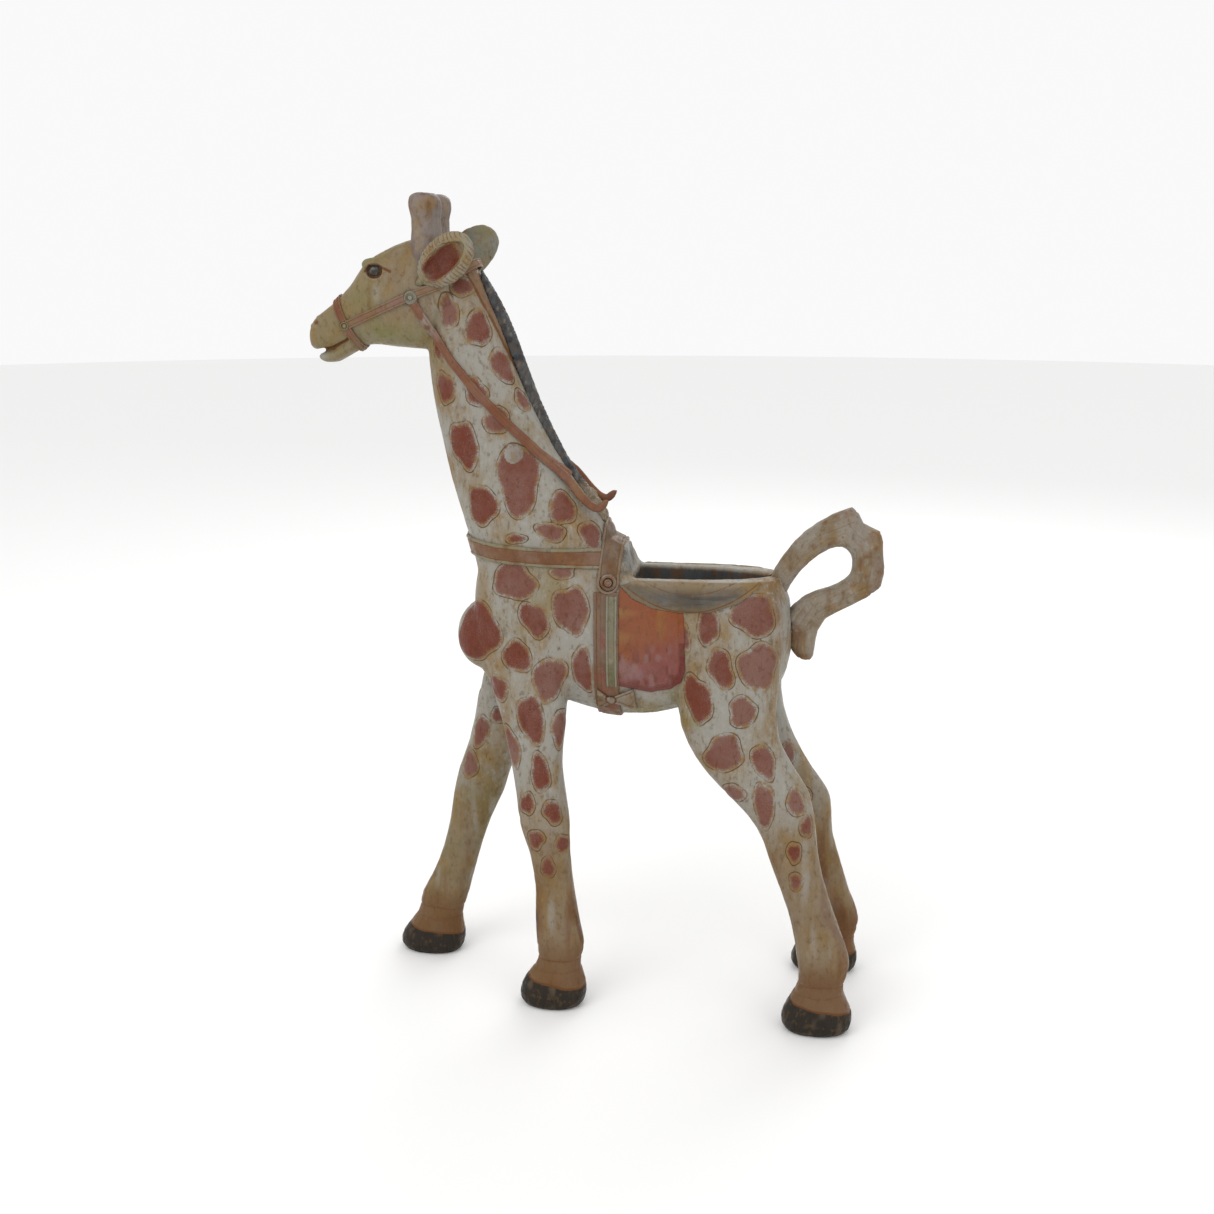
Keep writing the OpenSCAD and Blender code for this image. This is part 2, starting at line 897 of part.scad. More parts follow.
module ring_seats() {
    seat(ring_at, ring_d, ring_seat);
    seat(rosette_at, rosette_d, rosette_seat);
}

module boss_seats() {
    seat(boss_at, boss_d, boss_seat);
}

module halter_rings() {
    color("olive")
        mirrored() disc(ring_at, ring_seat, ring_d, 8.5);
}

module halter_rosettes() {
    color("cadetblue")
        mirrored() disc(rosette_at, rosette_seat, rosette_d, 8);
}

module strap_bosses() {
    color("peru")
        mirrored() disc(boss_at, boss_seat, boss_d, 13);
}

// Each rein runs down the neck to the withers, where its free end curls up.
module rein(y) {
    block()
        difference() {
            union() {
                relief(0, rein_t + 1, y) {
                    difference() {
                        band(rein_route, rein_w);
                        offset(0.2) band(cheek_route, rein_w);
                        translate(rosette_at) circle(rosette_d / 2 + 0.3, $fn = 24);
                    }
                    head_and_neck();
                }
                intersection() {
                    carve(rein_end, 2, 10);
                    region(y = y);
                }
            }
            carve(neck_line);
            mane_shape();
        }
}

module rein_left() {
    color("firebrick") rein([-120, -12]);
}

module rein_right() {
    color("firebrick") mirror([0, 1, 0]) rein([-120, -12]);
}

module breast_strap() {
    color("rosybrown")
        block()
            relief(0, strap_t) {
                difference() {
                    band(breast_route, strap_w);
                    offset(0.2) withers_outline();
                }
                front_form();
            }
}

module withers_outline() {
    band([[15, 640], boss_at], 24);
    translate(boss_at) circle(13, $fn = 32);
}

module withers_shape() {
    relief(0, strap_t) {
        withers_outline();
        front_form();
    }
}

module withers_strap() {
    color("sienna")
        difference() {
            block() withers_shape();
            boss_seats();
        }
}

module girth_outline() {
    difference() {
        translate([girth_x[0], 300]) square([girth_x[1] - girth_x[0], 232]);
        translate(boss_at) circle(13.1, $fn = 32);
    }
}

module girth_shape() {
    relief(0, strap_t) {
        girth_outline();
        carve(trunk_line);
    }
}

module girth_strap() {
    color("brown")
        block() girth_shape();
}

module girth_overlay(y) {
    block()
        relief(strap_t, strap_t + 2, y) {
            translate([overlay_x[0], overlay_z[0]])
                square([overlay_x[1] - overlay_x[0], overlay_z[1] - overlay_z[0]]);
            carve(trunk_line);
        }
}

module girth_overlay_left() {
    color("darkseagreen") girth_overlay([-120, 0]);
}

module girth_overlay_right() {
    color("darkseagreen") girth_overlay([0, 120]);
}

module bow_outline() {
    polygon([[-4, 414], [10, 402], [16, 404], [40, 415], [42, 386], [18, 394], [8, 392], [-4, 384]]);
}

module girth_bows() {
    color("peru")
        block()
            mirrored() {
                relief(0, bow_t, [-120, -18]) {
                    difference() {
                        bow_outline();
                        girth_outline();
                    }
                    carve(trunk_line);
                }
                relief(strap_t, bow_t, [-120, -18]) {
                    intersection() {
                        bow_outline();
                        girth_outline();
                    }
                    carve(trunk_line);
                }
            }
}

module lip_outline() {
    polygon([
        [girth_x[1] + 1, rim_z - 6], [38, rim_z - 20], [62, rim_z - 30], [95, rim_z - 35],
        [130, rim_z - 33], [160, rim_z - 23], [182, rim_z - 8], [186, rim_z], [44, rim_z]
    ]);
}

module rim_lip(y) {
    block()
        relief(0, strap_t, y) {
            lip_outline();
            rear_form();
        }
}

module rim_lip_left() {
    color("slategray") rim_lip([-120, 0]);
}

module rim_lip_right() {
    color("slategray") rim_lip([0, 120]);
}

module saddle_cloth(y) {
    block()
        relief(0, cloth_t, y) {
            difference() {
                polygon([
                    [girth_x[1] + 0.5, 540], [98, 520], [101, 440], [96, 426], [84, 417], [60, 412],
                    [girth_x[1] + 0.5, 418]
                ]);
                offset(0.3) lip_outline();
                offset(0.3) bow_outline();
            }
            rear_form();
        }
}

module saddle_cloth_left() {
    color("orangered") saddle_cloth([-120, 0]);
}

module saddle_cloth_right() {
    color("orangered") saddle_cloth([0, 120]);
}

translate([center_x, 0, 0]) {
    trunk_left_side();
    trunk_right_side();
    trunk_floor();
    chest_block();
    rump_block();
    neck_block();
    head_block();
    ear_left();
    ear_right();
    horn_left();
    horn_right();
    eyes();
    mane();
    tail();
    upper_leg(0);  // front_left_upper_leg
    upper_leg(1);  // front_right_upper_leg
    upper_leg(2);  // rear_left_upper_leg
    upper_leg(3);  // rear_right_upper_leg
    lower_leg(0);  // front_left_lower_leg
    lower_leg(1);  // front_right_lower_leg
    lower_leg(2);  // rear_left_lower_leg
    lower_leg(3);  // rear_right_lower_leg
    hoof(0);  // front_left_hoof
    hoof(1);  // front_right_hoof
    hoof(2);  // rear_left_hoof
    hoof(3);  // rear_right_hoof
    halter();
    halter_rings();
    halter_rosettes();
    rein_left();
    rein_right();
    breast_strap();
    withers_strap();
    strap_bosses();
    girth_strap();
    girth_overlay_left();
    girth_overlay_right();
    girth_bows();
    saddle_cloth_left();
    saddle_cloth_right();
    rim_lip_left();
    rim_lip_right();
    color("peru") hip_dowel_set();  // hip_dowels
    color("peru") knee_dowel_set();  // knee_dowels
    color("peru") hoof_dowel_set();  // hoof_dowels
    color("peru") neck_dowel_set();  // neck_dowels
    color("peru") head_dowel_shape();  // head_dowel
    color("peru") trunk_dowel_set();  // trunk_dowels
    color("peru") tail_dowel_set();  // tail_dowels
}
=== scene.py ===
"""Carved and painted giraffe with carousel tack: its carved surface, its paint and its stage.

The glued-up blocks become one smooth carved surface, which is cut again at the glue joints. Places on
the figure are in millimetres in the frame of the fixed model: it faces -X, with its left side at -Y.
"""

import functools
import math

import bmesh
import bpy
import numpy as np
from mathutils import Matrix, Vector
from mathutils.bvhtree import BVHTree


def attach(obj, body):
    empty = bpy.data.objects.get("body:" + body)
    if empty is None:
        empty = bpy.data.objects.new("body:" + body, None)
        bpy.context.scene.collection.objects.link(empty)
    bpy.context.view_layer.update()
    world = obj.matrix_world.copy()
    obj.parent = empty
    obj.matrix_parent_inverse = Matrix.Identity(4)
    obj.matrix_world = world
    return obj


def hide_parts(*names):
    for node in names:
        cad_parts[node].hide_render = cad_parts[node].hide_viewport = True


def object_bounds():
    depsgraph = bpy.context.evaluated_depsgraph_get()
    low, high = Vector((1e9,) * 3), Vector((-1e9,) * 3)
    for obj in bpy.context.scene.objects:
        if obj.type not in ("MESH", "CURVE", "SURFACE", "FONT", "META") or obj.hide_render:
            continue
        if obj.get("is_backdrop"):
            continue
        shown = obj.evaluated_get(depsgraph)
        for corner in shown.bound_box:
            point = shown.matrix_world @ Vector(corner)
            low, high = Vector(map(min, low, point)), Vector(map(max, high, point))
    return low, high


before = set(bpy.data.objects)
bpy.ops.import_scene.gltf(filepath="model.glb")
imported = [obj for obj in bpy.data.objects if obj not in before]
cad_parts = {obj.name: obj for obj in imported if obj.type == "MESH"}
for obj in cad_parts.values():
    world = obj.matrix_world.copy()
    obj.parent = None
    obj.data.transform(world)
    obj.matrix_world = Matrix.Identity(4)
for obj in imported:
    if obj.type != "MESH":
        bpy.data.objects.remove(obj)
CAD_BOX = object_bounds()
MM = 0.001

bl_info = {
    "name": "Carved Giraffe",
    "version": (1, 0, 0),
    "blender": (4, 5, 0),
    "location": "View3D > Sidebar > Giraffe",
    "description": "Carves and paints a wooden giraffe with carousel tack",
    "category": "Object",
}


def colour_property(label, words, value):
    return bpy.props.FloatVectorProperty(
        name=label, description=words, default=value, size=3, subtype="COLOR", min=0, max=1
    )


def length_property(label, words, millimetres):
    return bpy.props.FloatProperty(
        name=label, description=words, default=millimetres * MM, unit="LENGTH", subtype="DISTANCE"
    )


class GiraffeCarving(bpy.types.PropertyGroup):
    figure_grain: length_property("Figure grain", "Spacing of the carved surface of the figure", 1.6)
    knife_depth: length_property("Knife depth", "Depth of the cut line round each painted spot", 0.6)
    knife_width: length_property("Knife width", "Width of the cut line round each painted spot", 1.0)
    line_gap: length_property("Line gap", "Distance of the cut line outside each painted spot", 2.6)
    chisel_depth: length_property("Chisel depth", "Unevenness left by the chisel", 0.35)
    rounding: bpy.props.IntProperty(
        name="Rounding", description="Rounds of sanding that blend the blocks", default=34, min=0, max=80
    )


class GiraffePaint(bpy.types.PropertyGroup):
    cream: colour_property("Cream", "Ground coat of neck and body", (0.228, 0.178, 0.115))
    chalk: colour_property("Chalk", "Cool white brushed over the ground coat", (0.282, 0.274, 0.244))
    stain: colour_property("Stain", "Orange-brown wash in hollows and cut lines", (0.128, 0.050, 0.015))
    ochre: colour_property("Ochre", "Yellow wash round spots and in creases", (0.215, 0.125, 0.034))
    umber: colour_property("Umber", "Dark brown in the deepest cuts", (0.034, 0.018, 0.010))
    olive: colour_property("Olive", "Green wash of face, jaw and belly", (0.165, 0.150, 0.056))
    tan: colour_property("Tan", "Lower legs and forehead", (0.165, 0.098, 0.036))
    rust: colour_property("Rust", "Pasterns", (0.130, 0.058, 0.021))
    hoof: colour_property("Hoof", "Charcoal of the hooves", (0.024, 0.019, 0.014))
    pale_spot: colour_property("Pale spot", "Lilac-pink of the faintest spots", (0.168, 0.082, 0.064))
    strong_spot: colour_property("Strong spot", "Brick red of the strongest spots", (0.128, 0.029, 0.016))
    slate: colour_property("Slate", "Blue-grey of mane, lip and trough", (0.050, 0.054, 0.058))
    strap: colour_property("Strap", "Pink-brown of the straps", (0.150, 0.066, 0.034))
    rein: colour_property("Rein", "Red-brown of the reins", (0.160, 0.058, 0.030))
    celadon: colour_property("Celadon", "Grey-green of rosettes and girth strip", (0.105, 0.104, 0.046))
    vermilion: colour_property("Vermilion", "Orange-red of the saddle cloth", (0.205, 0.052, 0.016))
    magenta: colour_property("Magenta", "Pink of the lower saddle cloth", (0.185, 0.058, 0.052))


class GiraffeStage(bpy.types.PropertyGroup):
    eye_point: bpy.props.FloatVectorProperty(
        name="Camera place", description="Where the camera stands", default=(0.2446, -1.6335, 0.9113),
        size=3, unit="LENGTH", subtype="XYZ",
    )
    aim: bpy.props.FloatVectorProperty(
        name="Aim", description="Point the camera looks at", default=(0.015, 0.0, 0.5),
        size=3, unit="LENGTH", subtype="XYZ",
    )
    lens: bpy.props.FloatProperty(name="Lens", description="Focal length in millimetres", default=41.52)
    floor_size: length_property("Floor", "Diameter of the floor", 24000)


# Tints mixed for single places, beside the paints that can be changed
TINTS = {
    # Wear of every paint
    "grime": (0.105, 0.062, 0.028), "dry_white": (0.330, 0.318, 0.285),
    "burnt_red": (0.165, 0.060, 0.024), "rubbed_pink": (0.220, 0.138, 0.112),
    "deep_red": (0.082, 0.026, 0.014),
    # Figure, with the painted shadow beside the mane, the painted shade deep in the trough and the olive
    # and painted shade of the far front leg
    "mane_edge": (0.185, 0.098, 0.052), "face": (0.195, 0.150, 0.078), "knob": (0.175, 0.158, 0.158),
    "drip": (0.098, 0.044, 0.018), "trough_black": (0.010, 0.011, 0.013), "moss": (0.150, 0.128, 0.045),
    "hoof_wear": (0.088, 0.062, 0.040),
    # Ears, horns, mane and tail
    "ear_front": (0.225, 0.190, 0.115), "ear_back": (0.150, 0.146, 0.110),
    "ear_hollow": (0.150, 0.052, 0.020), "horn": (0.190, 0.148, 0.128),
    "horn_shade": (0.125, 0.092, 0.098), "mane_black": (0.016, 0.018, 0.024),
    "mane_grey": (0.150, 0.145, 0.125), "tuft": (0.150, 0.090, 0.034),
    "tuft_green": (0.190, 0.165, 0.060), "tail": (0.178, 0.130, 0.078),
    # Eyes
    "eyeball": (0.024, 0.026, 0.020), "iris": (0.075, 0.085, 0.080), "glint": (0.130, 0.150, 0.155),
    # Halter and reins
    "halter": (0.165, 0.095, 0.048), "halter_red": (0.150, 0.045, 0.030),
    "halter_pink": (0.185, 0.085, 0.060), "ring": (0.165, 0.140, 0.070), "rosette": (0.140, 0.145, 0.095),
    "rein_worn": (0.270, 0.225, 0.190), "rein_orange": (0.185, 0.086, 0.036),
    # Straps, bows and girth
    "piping": (0.190, 0.165, 0.100), "withers": (0.105, 0.058, 0.032),
    "withers_piping": (0.165, 0.108, 0.060), "boss": (0.170, 0.080, 0.036), "bow": (0.125, 0.075, 0.038),
    "bow_pale": (0.180, 0.130, 0.075), "girth": (0.125, 0.064, 0.034), "girth_red": (0.170, 0.045, 0.028),
    "strip_edge": (0.180, 0.170, 0.108), "strip_moss": (0.085, 0.078, 0.022),
    # Saddle cloth and rim lip
    "cloth_gold": (0.240, 0.125, 0.030), "cloth_red": (0.120, 0.022, 0.014),
    "cloth_pink": (0.215, 0.110, 0.105), "hem": (0.110, 0.020, 0.016), "lip": (0.130, 0.094, 0.052),
    "lip_edge": (0.205, 0.150, 0.088), "lip_black": (0.022, 0.022, 0.022),
    # Dowels
    "beech": (0.46, 0.30, 0.165), "beech_light": (0.60, 0.42, 0.25), "pore": (0.22, 0.12, 0.06),
}


def shade_of(colour):
    """A colour by its name, or as it is."""
    if not isinstance(colour, str):
        return tuple(colour)
    return TINTS[colour] if colour in TINTS else tuple(getattr(bpy.context.scene.giraffe_paint, colour))


# Shapes as arrays

def steps(low, high, value):
    """Rises smoothly from 0 at low to 1 at high."""
    t = np.clip((value - low) / (high - low), 0, 1)
    return t * t * (3 - 2 * t)


def bell(distance, width):
    return np.exp(-((distance / width) ** 2))


def lattice(cell, seed):
    """A fixed random number from -1 to 1 for each cell of a grid."""
    mixed = cell[:, 0] * 374761393 + cell[:, 1] * 668265263 + cell[:, 2] * 974634777 + seed * 362437
    mixed = (mixed ^ (mixed >> 13)) & 0x7FFFFFFF
    mixed = (mixed * 1274126177) & 0x7FFFFFFF
    return ((mixed ^ (mixed >> 16)) & 0xFFFF) / 32767.5 - 1


def noise(place, size, seed=0):
    """Soft noise with bumps of one size, in millimetres. The size may differ by axis."""
    grid = place / np.array(size, float)
    cell = np.floor(grid).astype(np.int64)
    part = grid - cell
    part = part * part * (3 - 2 * part)
    total = np.zeros(len(place))
    for corner in range(8):
        bits = np.array([corner & 1, corner >> 1 & 1, corner >> 2 & 1])
        share = np.prod(np.where(bits, part, 1 - part), axis=1)
        total += share * lattice(cell + bits, seed)
    return total


def rough(place, size, seed=0):
    return noise(place, size, seed) + 0.5 * noise(place, np.array(size) / 2.1, seed + 7)


def beside(place, route):
    """Distance from a route in the side view, the signed distance across it and the way along it."""
    flat = place[:, [0, 2]]
    nearest = np.full(len(flat), 1e6)
    across = np.zeros(len(flat))
    along = np.zeros(len(flat))
    gone = 0.0
    for start, end in zip(route[:-1], route[1:]):
        start, end = np.array(start, float), np.array(end, float)
        span = np.linalg.norm(end - start)
        way = (end - start) / span
        out = flat - start
        t = np.clip(out @ way, 0, span)
        away = out - t[:, None] * way
        distance = np.linalg.norm(away, axis=1)
        closer = distance < nearest
        nearest[closer] = distance[closer]
        across[closer] = (out @ np.array([-way[1], way[0]]))[closer]
        along[closer] = (gone + t)[closer]
        gone += span
    return nearest, across, along


def read(items, name, width, kind=np.float32):
    """The values of every item of a mesh, one row for each."""
    flat = np.empty(len(items) * width, kind)
    items.foreach_get(name, flat)
    return flat.reshape(-1, width)


class Carving:
    """A closed carved surface: its places in millimetres, its normals and its painted layers."""

    def __init__(self, nodes, grain):
        self.mesh = voxel_mesh(solid_copy(nodes), grain)
        self.place = read(self.mesh.vertices, "co", 3).astype(float) / MM
        self.pairs = read(self.mesh.edges, "vertices", 2, np.int32)
        count = len(self.place)
        self.line = np.zeros(count)
        self.spot = np.full(count, -60.0)
        self.tone = np.full(count, 0.5)
        self.chalk = np.ones(count)
        self.ground = np.zeros((count, 3))
        self.find_normals()

    def settle(self):
        self.mesh.vertices.foreach_set("co", (self.place * MM).astype(np.float32).ravel())
        self.mesh.update()

    def find_normals(self):
        self.settle()
        self.normal = read(self.mesh.vertices, "normal", 3).astype(float)

    def averaged(self, values, rounds, strength=0.5):
        """Values relaxed towards those of their neighbours."""
        a, b = self.pairs.T
        count = len(self.place)
        degree = np.bincount(self.pairs.ravel(), minlength=count)
        columns = np.atleast_2d(values.T).T.copy()
        strength = np.broadcast_to(strength, (count,))
        for _ in range(rounds):
            for k in range(columns.shape[1]):
                c = columns[:, k]
                near = np.bincount(a, c[b], count) + np.bincount(b, c[a], count)
                columns[:, k] = c + strength * (near / degree - c)
        return columns.reshape(values.shape)

    def sand(self, rounds, strength=0.5, swell=0.0):
        """Rounds the surface, and lets it swell again by what sanding takes away."""
        self.place = self.averaged(self.place, rounds, strength)
        self.find_normals()
        if swell:
            self.push(swell)

    def push(self, height):
        self.place += self.normal * (np.broadcast_to(height, (len(self.place),))[:, None])
        self.find_normals()

    def cut(self, distance, width, depth, where=1.0, stain=1.0):
        """A carved groove, with wash lying in it."""
        groove = bell(distance, width) * where
        self.line = np.maximum(self.line, stain * groove)
        return -depth * groove

    def groove(self, route, width, depth, where=1.0, stain=1.0):
        """A cut along a route in the side view."""
        return self.cut(beside(self.place, route)[0], width, depth, where, stain)

    def hollows(self, rounds=5):
        """How far each place lies below its surroundings, in millimetres."""
        away = self.averaged(self.place, rounds) - self.place
        return np.einsum("ij,ij->i", away, self.normal)

    def coat(self, colour, chalk=1.0):
        """Covers the whole surface, with a share of chalk to be brushed over it."""
        self.ground[:] = shade_of(colour)
        self.chalk[:] = chalk

    def tint(self, colour, share):
        share = np.clip(np.broadcast_to(share, (len(self.place),)), 0, 1)[:, None]
        self.ground = self.ground * (1 - share) + np.array(shade_of(colour)) * share

    def blotch(self, colour, share, low, high, size, seed, where=1.0):
        """Tints the patches where a noise of one size rises from low to high."""
        self.tint(colour, share * where * steps(low, high, noise(self.place, size, seed)))

    def store(self):
        self.settle()
        layers = {
            "spot": self.spot, "tone": self.tone, "line": self.line,
            "chalk": self.chalk, "hollow": self.hollows(),
        }
        for name, values in layers.items():
            layer = self.mesh.attributes.new(name, "FLOAT", "POINT")
            layer.data.foreach_set("value", values.astype(np.float32))
        layer = self.mesh.attributes.new("ground", "FLOAT_COLOR", "POINT")
        rgba = np.c_[self.ground, np.ones(len(self.ground))]
        layer.data.foreach_set("color", rgba.astype(np.float32).ravel())
        return self.mesh


def placed(name, data):
    """A new object of the scene."""
    made = bpy.data.objects.new(name, data)
    bpy.context.scene.collection.objects.link(made)
    return made


def solid_copy(nodes):
    grown = bmesh.new()
    for node in nodes:
        grown.from_mesh(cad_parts[node].data)
    mesh = bpy.data.meshes.new("blank")
    grown.to_mesh(mesh)
    grown.free()
    return mesh


def voxel_mesh(mesh, grain):
    """The outer skin of a mesh as an even net of small faces."""
    blank = placed("blank", mesh)
    skin = blank.modifiers.new("skin", "REMESH")
    skin.mode = "VOXEL"
    skin.voxel_size = grain
    graph = bpy.context.evaluated_depsgraph_get()
    result = bpy.data.meshes.new_from_object(blank.evaluated_get(graph))
    bpy.data.objects.remove(blank)
    bpy.data.meshes.remove(mesh)
    return result


def halved(mesh, point, away):
    """Both closed sides of a mesh cut by a plane: first the side behind it, then the side in front."""
    sides = []
    for direction in (Vector(away), -Vector(away)):
        part = bmesh.new()
        part.from_mesh(mesh)
        whole = part.verts[:] + part.edges[:] + part.faces[:]
        bmesh.ops.bisect_plane(
            part, geom=whole, dist=1e-7, plane_co=Vector(point) * MM, plane_no=direction, clear_outer=True
        )
        rim = [e for e in part.edges if e.is_boundary]
        caps = bmesh.ops.holes_fill(part, edges=rim, sides=0)["faces"]
        for edge in rim:
            edge.smooth = False
        bmesh.ops.triangulate(part, faces=caps)
        side = bpy.data.meshes.new("side")
        part.to_mesh(side)
        part.free()
        sides.append(side)
    bpy.data.meshes.remove(mesh)
    return sides


def piece(name, mesh, material, nodes):
    """A finished piece that stands for its nodes and rides with the body."""
    mesh.materials.clear()
    mesh.materials.append(material)
    mesh.shade_smooth()
    made = placed(name, mesh)
    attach(made, "root")
    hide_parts(*nodes)
    return made


# Paint

class Recipe:
    """Puts a paint together from shader nodes."""

    def __init__(self, name):
        self.material = bpy.data.materials.new(name)
        self.material.use_nodes = True
        self.tree = self.material.node_tree
        self.tree.nodes.clear()
        self.output = self.tree.nodes.new("ShaderNodeOutputMaterial")
        self.shader = self.tree.nodes.new("ShaderNodeBsdfPrincipled")
        self.tree.links.new(self.shader.outputs[0], self.output.inputs[0])
        self.where = self.tree.nodes.new("ShaderNodeTexCoord").outputs["Object"]

    def set(self, socket, value):
        if isinstance(value, bpy.types.NodeSocket):
            self.tree.links.new(value, socket)
        elif socket.type == "RGBA":
            socket.default_value = (*shade_of(value), 1)
        else:
            socket.default_value = value

    def layer(self, name, kind="Fac"):
        node = self.tree.nodes.new("ShaderNodeAttribute")
        node.attribute_name = name
        return node.outputs[kind]

    def sum(self, kind, a, b=0.0):
        node = self.tree.nodes.new("ShaderNodeMath")
        node.operation = kind
        self.set(node.inputs[0], a)
        self.set(node.inputs[1], b)
        return node.outputs[0]

    def times(self, a, b):
        return self.sum("MULTIPLY", a, b)

    def add(self, first, *others):
        for other in others:
            first = self.sum("ADD", first, other)
        return first

    def swing(self, value, gain):
        """A noise that swings about zero."""
        return self.times(self.sum("SUBTRACT", value, 0.5), gain)

    def rise(self, value, low, high, top=1.0):
        node = self.tree.nodes.new("ShaderNodeMapRange")
        node.interpolation_type = "SMOOTHSTEP"
        for name, given in (("Value", value), ("From Min", low), ("From Max", high), ("To Max", top)):
            self.set(node.inputs[name], given)
        return node.outputs[0]

    def blend(self, share, under, over):
        node = self.tree.nodes.new("ShaderNodeMix")
        node.data_type = "RGBA"
        self.set(node.inputs[0], share)
        self.set(node.inputs[6], under)
        self.set(node.inputs[7], over)
        return node.outputs[2]

    def noise(self, size, stretch=(1, 1, 1), detail=3.0, seed=0.0):
        """Noise with marks of one size in millimetres, drawn out along the axes by the stretch."""
        turned = self.tree.nodes.new("ShaderNodeMapping")
        self.set(turned.inputs["Vector"], self.where)
        turned.inputs["Location"].default_value = (seed, 2 * seed, 3 * seed)
        turned.inputs["Scale"].default_value = [1 / s for s in stretch]
        node = self.tree.nodes.new("ShaderNodeTexNoise")
        self.set(node.inputs["Vector"], turned.outputs[0])
        node.inputs["Scale"].default_value = 1 / (size * MM)
        node.inputs["Detail"].default_value = detail
        node.inputs["Roughness"].default_value = 0.6
        return node.outputs["Fac"]

    def finish(self, colour, roughness, height, strength=0.5, distance=0.6):
        self.set(self.shader.inputs["Base Color"], colour)
        self.set(self.shader.inputs["Roughness"], roughness)
        self.shader.inputs["Specular IOR Level"].default_value = 0.12
        bump = self.tree.nodes.new("ShaderNodeBump")
        bump.inputs["Strength"].default_value = strength
        bump.inputs["Distance"].default_value = distance * MM
        self.set(bump.inputs["Height"], height)
        self.set(self.shader.inputs["Normal"], bump.outputs[0])


class DistressedPaint(Recipe):
    """Washed and dry-brushed paint over carved softwood, coloured by the layers of its surface."""

    def __init__(self, name, grain=(1, 1, 5), dry=1.0, stain=1.0, spotted=True):
        super().__init__(name)
        self.line, self.chalk = self.layer("line"), self.layer("chalk")
        self.wide = self.noise(48, (1, 1, 1.6), detail=2.0, seed=6.0)
        self.cloud = self.noise(24, seed=1.0)
        self.patch = self.noise(9, seed=2.0)
        self.streak = self.noise(4.5, grain, detail=4.0, seed=3.0)
        self.speck = self.noise(1.6, detail=2.0, seed=4.0)
        self.dust = self.noise(0.8, detail=1.0, seed=5.0)
        self.mottle = self.noise(5.5, (1, 1, 1.6), detail=6.0, seed=9.0)
        split = self.noise(1.2, tuple(3.0 * g for g in grain), detail=1.0, seed=8.0)
        check = self.times(self.rise(split, 0.29, 0.24), self.rise(self.cloud, 0.52, 0.64, 0.6))
        shade = self.dry_brushed(self.washed(stain), dry)
        if spotted:
            shade = self.knife_line(self.spots(self.halo(shade)))
        shade = self.blend(check, self.wear(shade), "umber")
        height = self.add(self.times(self.streak, 0.4), self.times(self.dust, 0.4))
        height = self.add(height, self.times(self.mottle, 0.8), self.times(check, -0.5))
        self.finish(shade, self.rise(self.streak, 0.2, 0.8, 0.9), height)

    def washed(self, stain):
        """The ground coat with ochre and stain run into it, but not where no chalk sticks."""
        bare = self.rise(self.chalk, 0.0, 0.4)
        wash = self.times(self.rise(self.cloud, 0.46, 0.66, 0.55 * stain), bare)
        blots = self.add(self.patch, self.times(self.streak, 0.5), self.swing(self.wide, 0.8))
        blots = self.times(self.rise(blots, 0.80, 1.02, 0.6 * stain), bare)
        return self.blend(blots, self.blend(wash, self.layer("ground", "Color"), "ochre"), "stain")

    def dry_brushed(self, shade, dry):
        """Chalk dragged over the grain, then grime and bright rubs."""
        brushed = self.add(self.times(self.wide, 0.7), self.times(self.streak, 0.22))
        brushed = self.add(brushed, self.times(self.dust, 0.14))
        white = self.times(self.rise(brushed, 0.43, 0.60, 0.88 * dry), self.chalk)
        shade = self.blend(white, shade, "chalk")
        shade = self.blend(self.rise(self.mottle, 0.47, 0.33, 0.5), shade, "grime")
        rubs = self.times(self.rise(self.mottle, 0.56, 0.68, 0.45), self.chalk)
        return self.blend(rubs, shade, "dry_white")

    def halo(self, shade):
        near = self.rise(self.layer("spot"), -6.5, -1.0)
        return self.blend(self.times(near, self.rise(self.patch, 0.44, 0.6, 0.7)), shade, "ochre")

    def spots(self, shade):
        """Red spots from pale to strong, rubbed in places and ragged at the edge."""
        spot = self.layer("spot")
        strength = self.add(self.layer("tone"), self.swing(self.cloud, 1.3), self.swing(self.speck, 0.5))
        red = self.blend(self.rise(strength, 0.0, 1.0), "pale_spot", "strong_spot")
        warm = self.times(self.rise(self.patch, 0.5, 0.7, 0.6), self.rise(spot, 9.0, 1.0))
        red = self.blend(warm, red, "burnt_red")
        rubbed = self.add(self.times(self.dust, 0.5), self.times(self.speck, 0.5))
        rubbed = self.add(rubbed, self.swing(self.wide, 0.5))
        red = self.blend(self.rise(rubbed, 0.50, 0.66, 0.42), red, "rubbed_pink")
        red = self.blend(self.rise(self.mottle, 0.47, 0.34, 0.45), red, "deep_red")
        edge = self.add(spot, self.swing(self.dust, 9.0), self.swing(self.speck, 9.0))
        return self.blend(self.rise(edge, -1.4, 2.8, 0.97), shade, red)

    def knife_line(self, shade):
        off = self.add(self.layer("spot"), self.swing(self.patch, 2.0))
        gap = bpy.context.scene.giraffe_carving.line_gap / MM
        near = self.rise(self.sum("ABSOLUTE", self.add(off, gap)), 0.85, 0.3)
        return self.blend(self.times(near, self.rise(self.cloud, 0.40, 0.56, 0.8)), shade, "umber")

    def wear(self, shade):
        """Stain in cuts and hollows, and chalk on the ridges."""
        ragged = self.add(self.line, self.swing(self.patch, 1.8))
        shade = self.blend(self.rise(self.times(ragged, self.line), 0.12, 0.85, 0.9), shade, "stain")
        shade = self.blend(self.rise(self.line, 1.1, 1.6), shade, "umber")
        hollow = self.layer("hollow")
        shade = self.blend(self.rise(hollow, 0.05, 0.42, 0.7), shade, "stain")
        worn = self.times(self.rise(hollow, -0.05, -0.4, 0.5), self.rise(self.patch, 0.35, 0.6))
        return self.blend(self.times(worn, self.chalk), shade, "chalk")


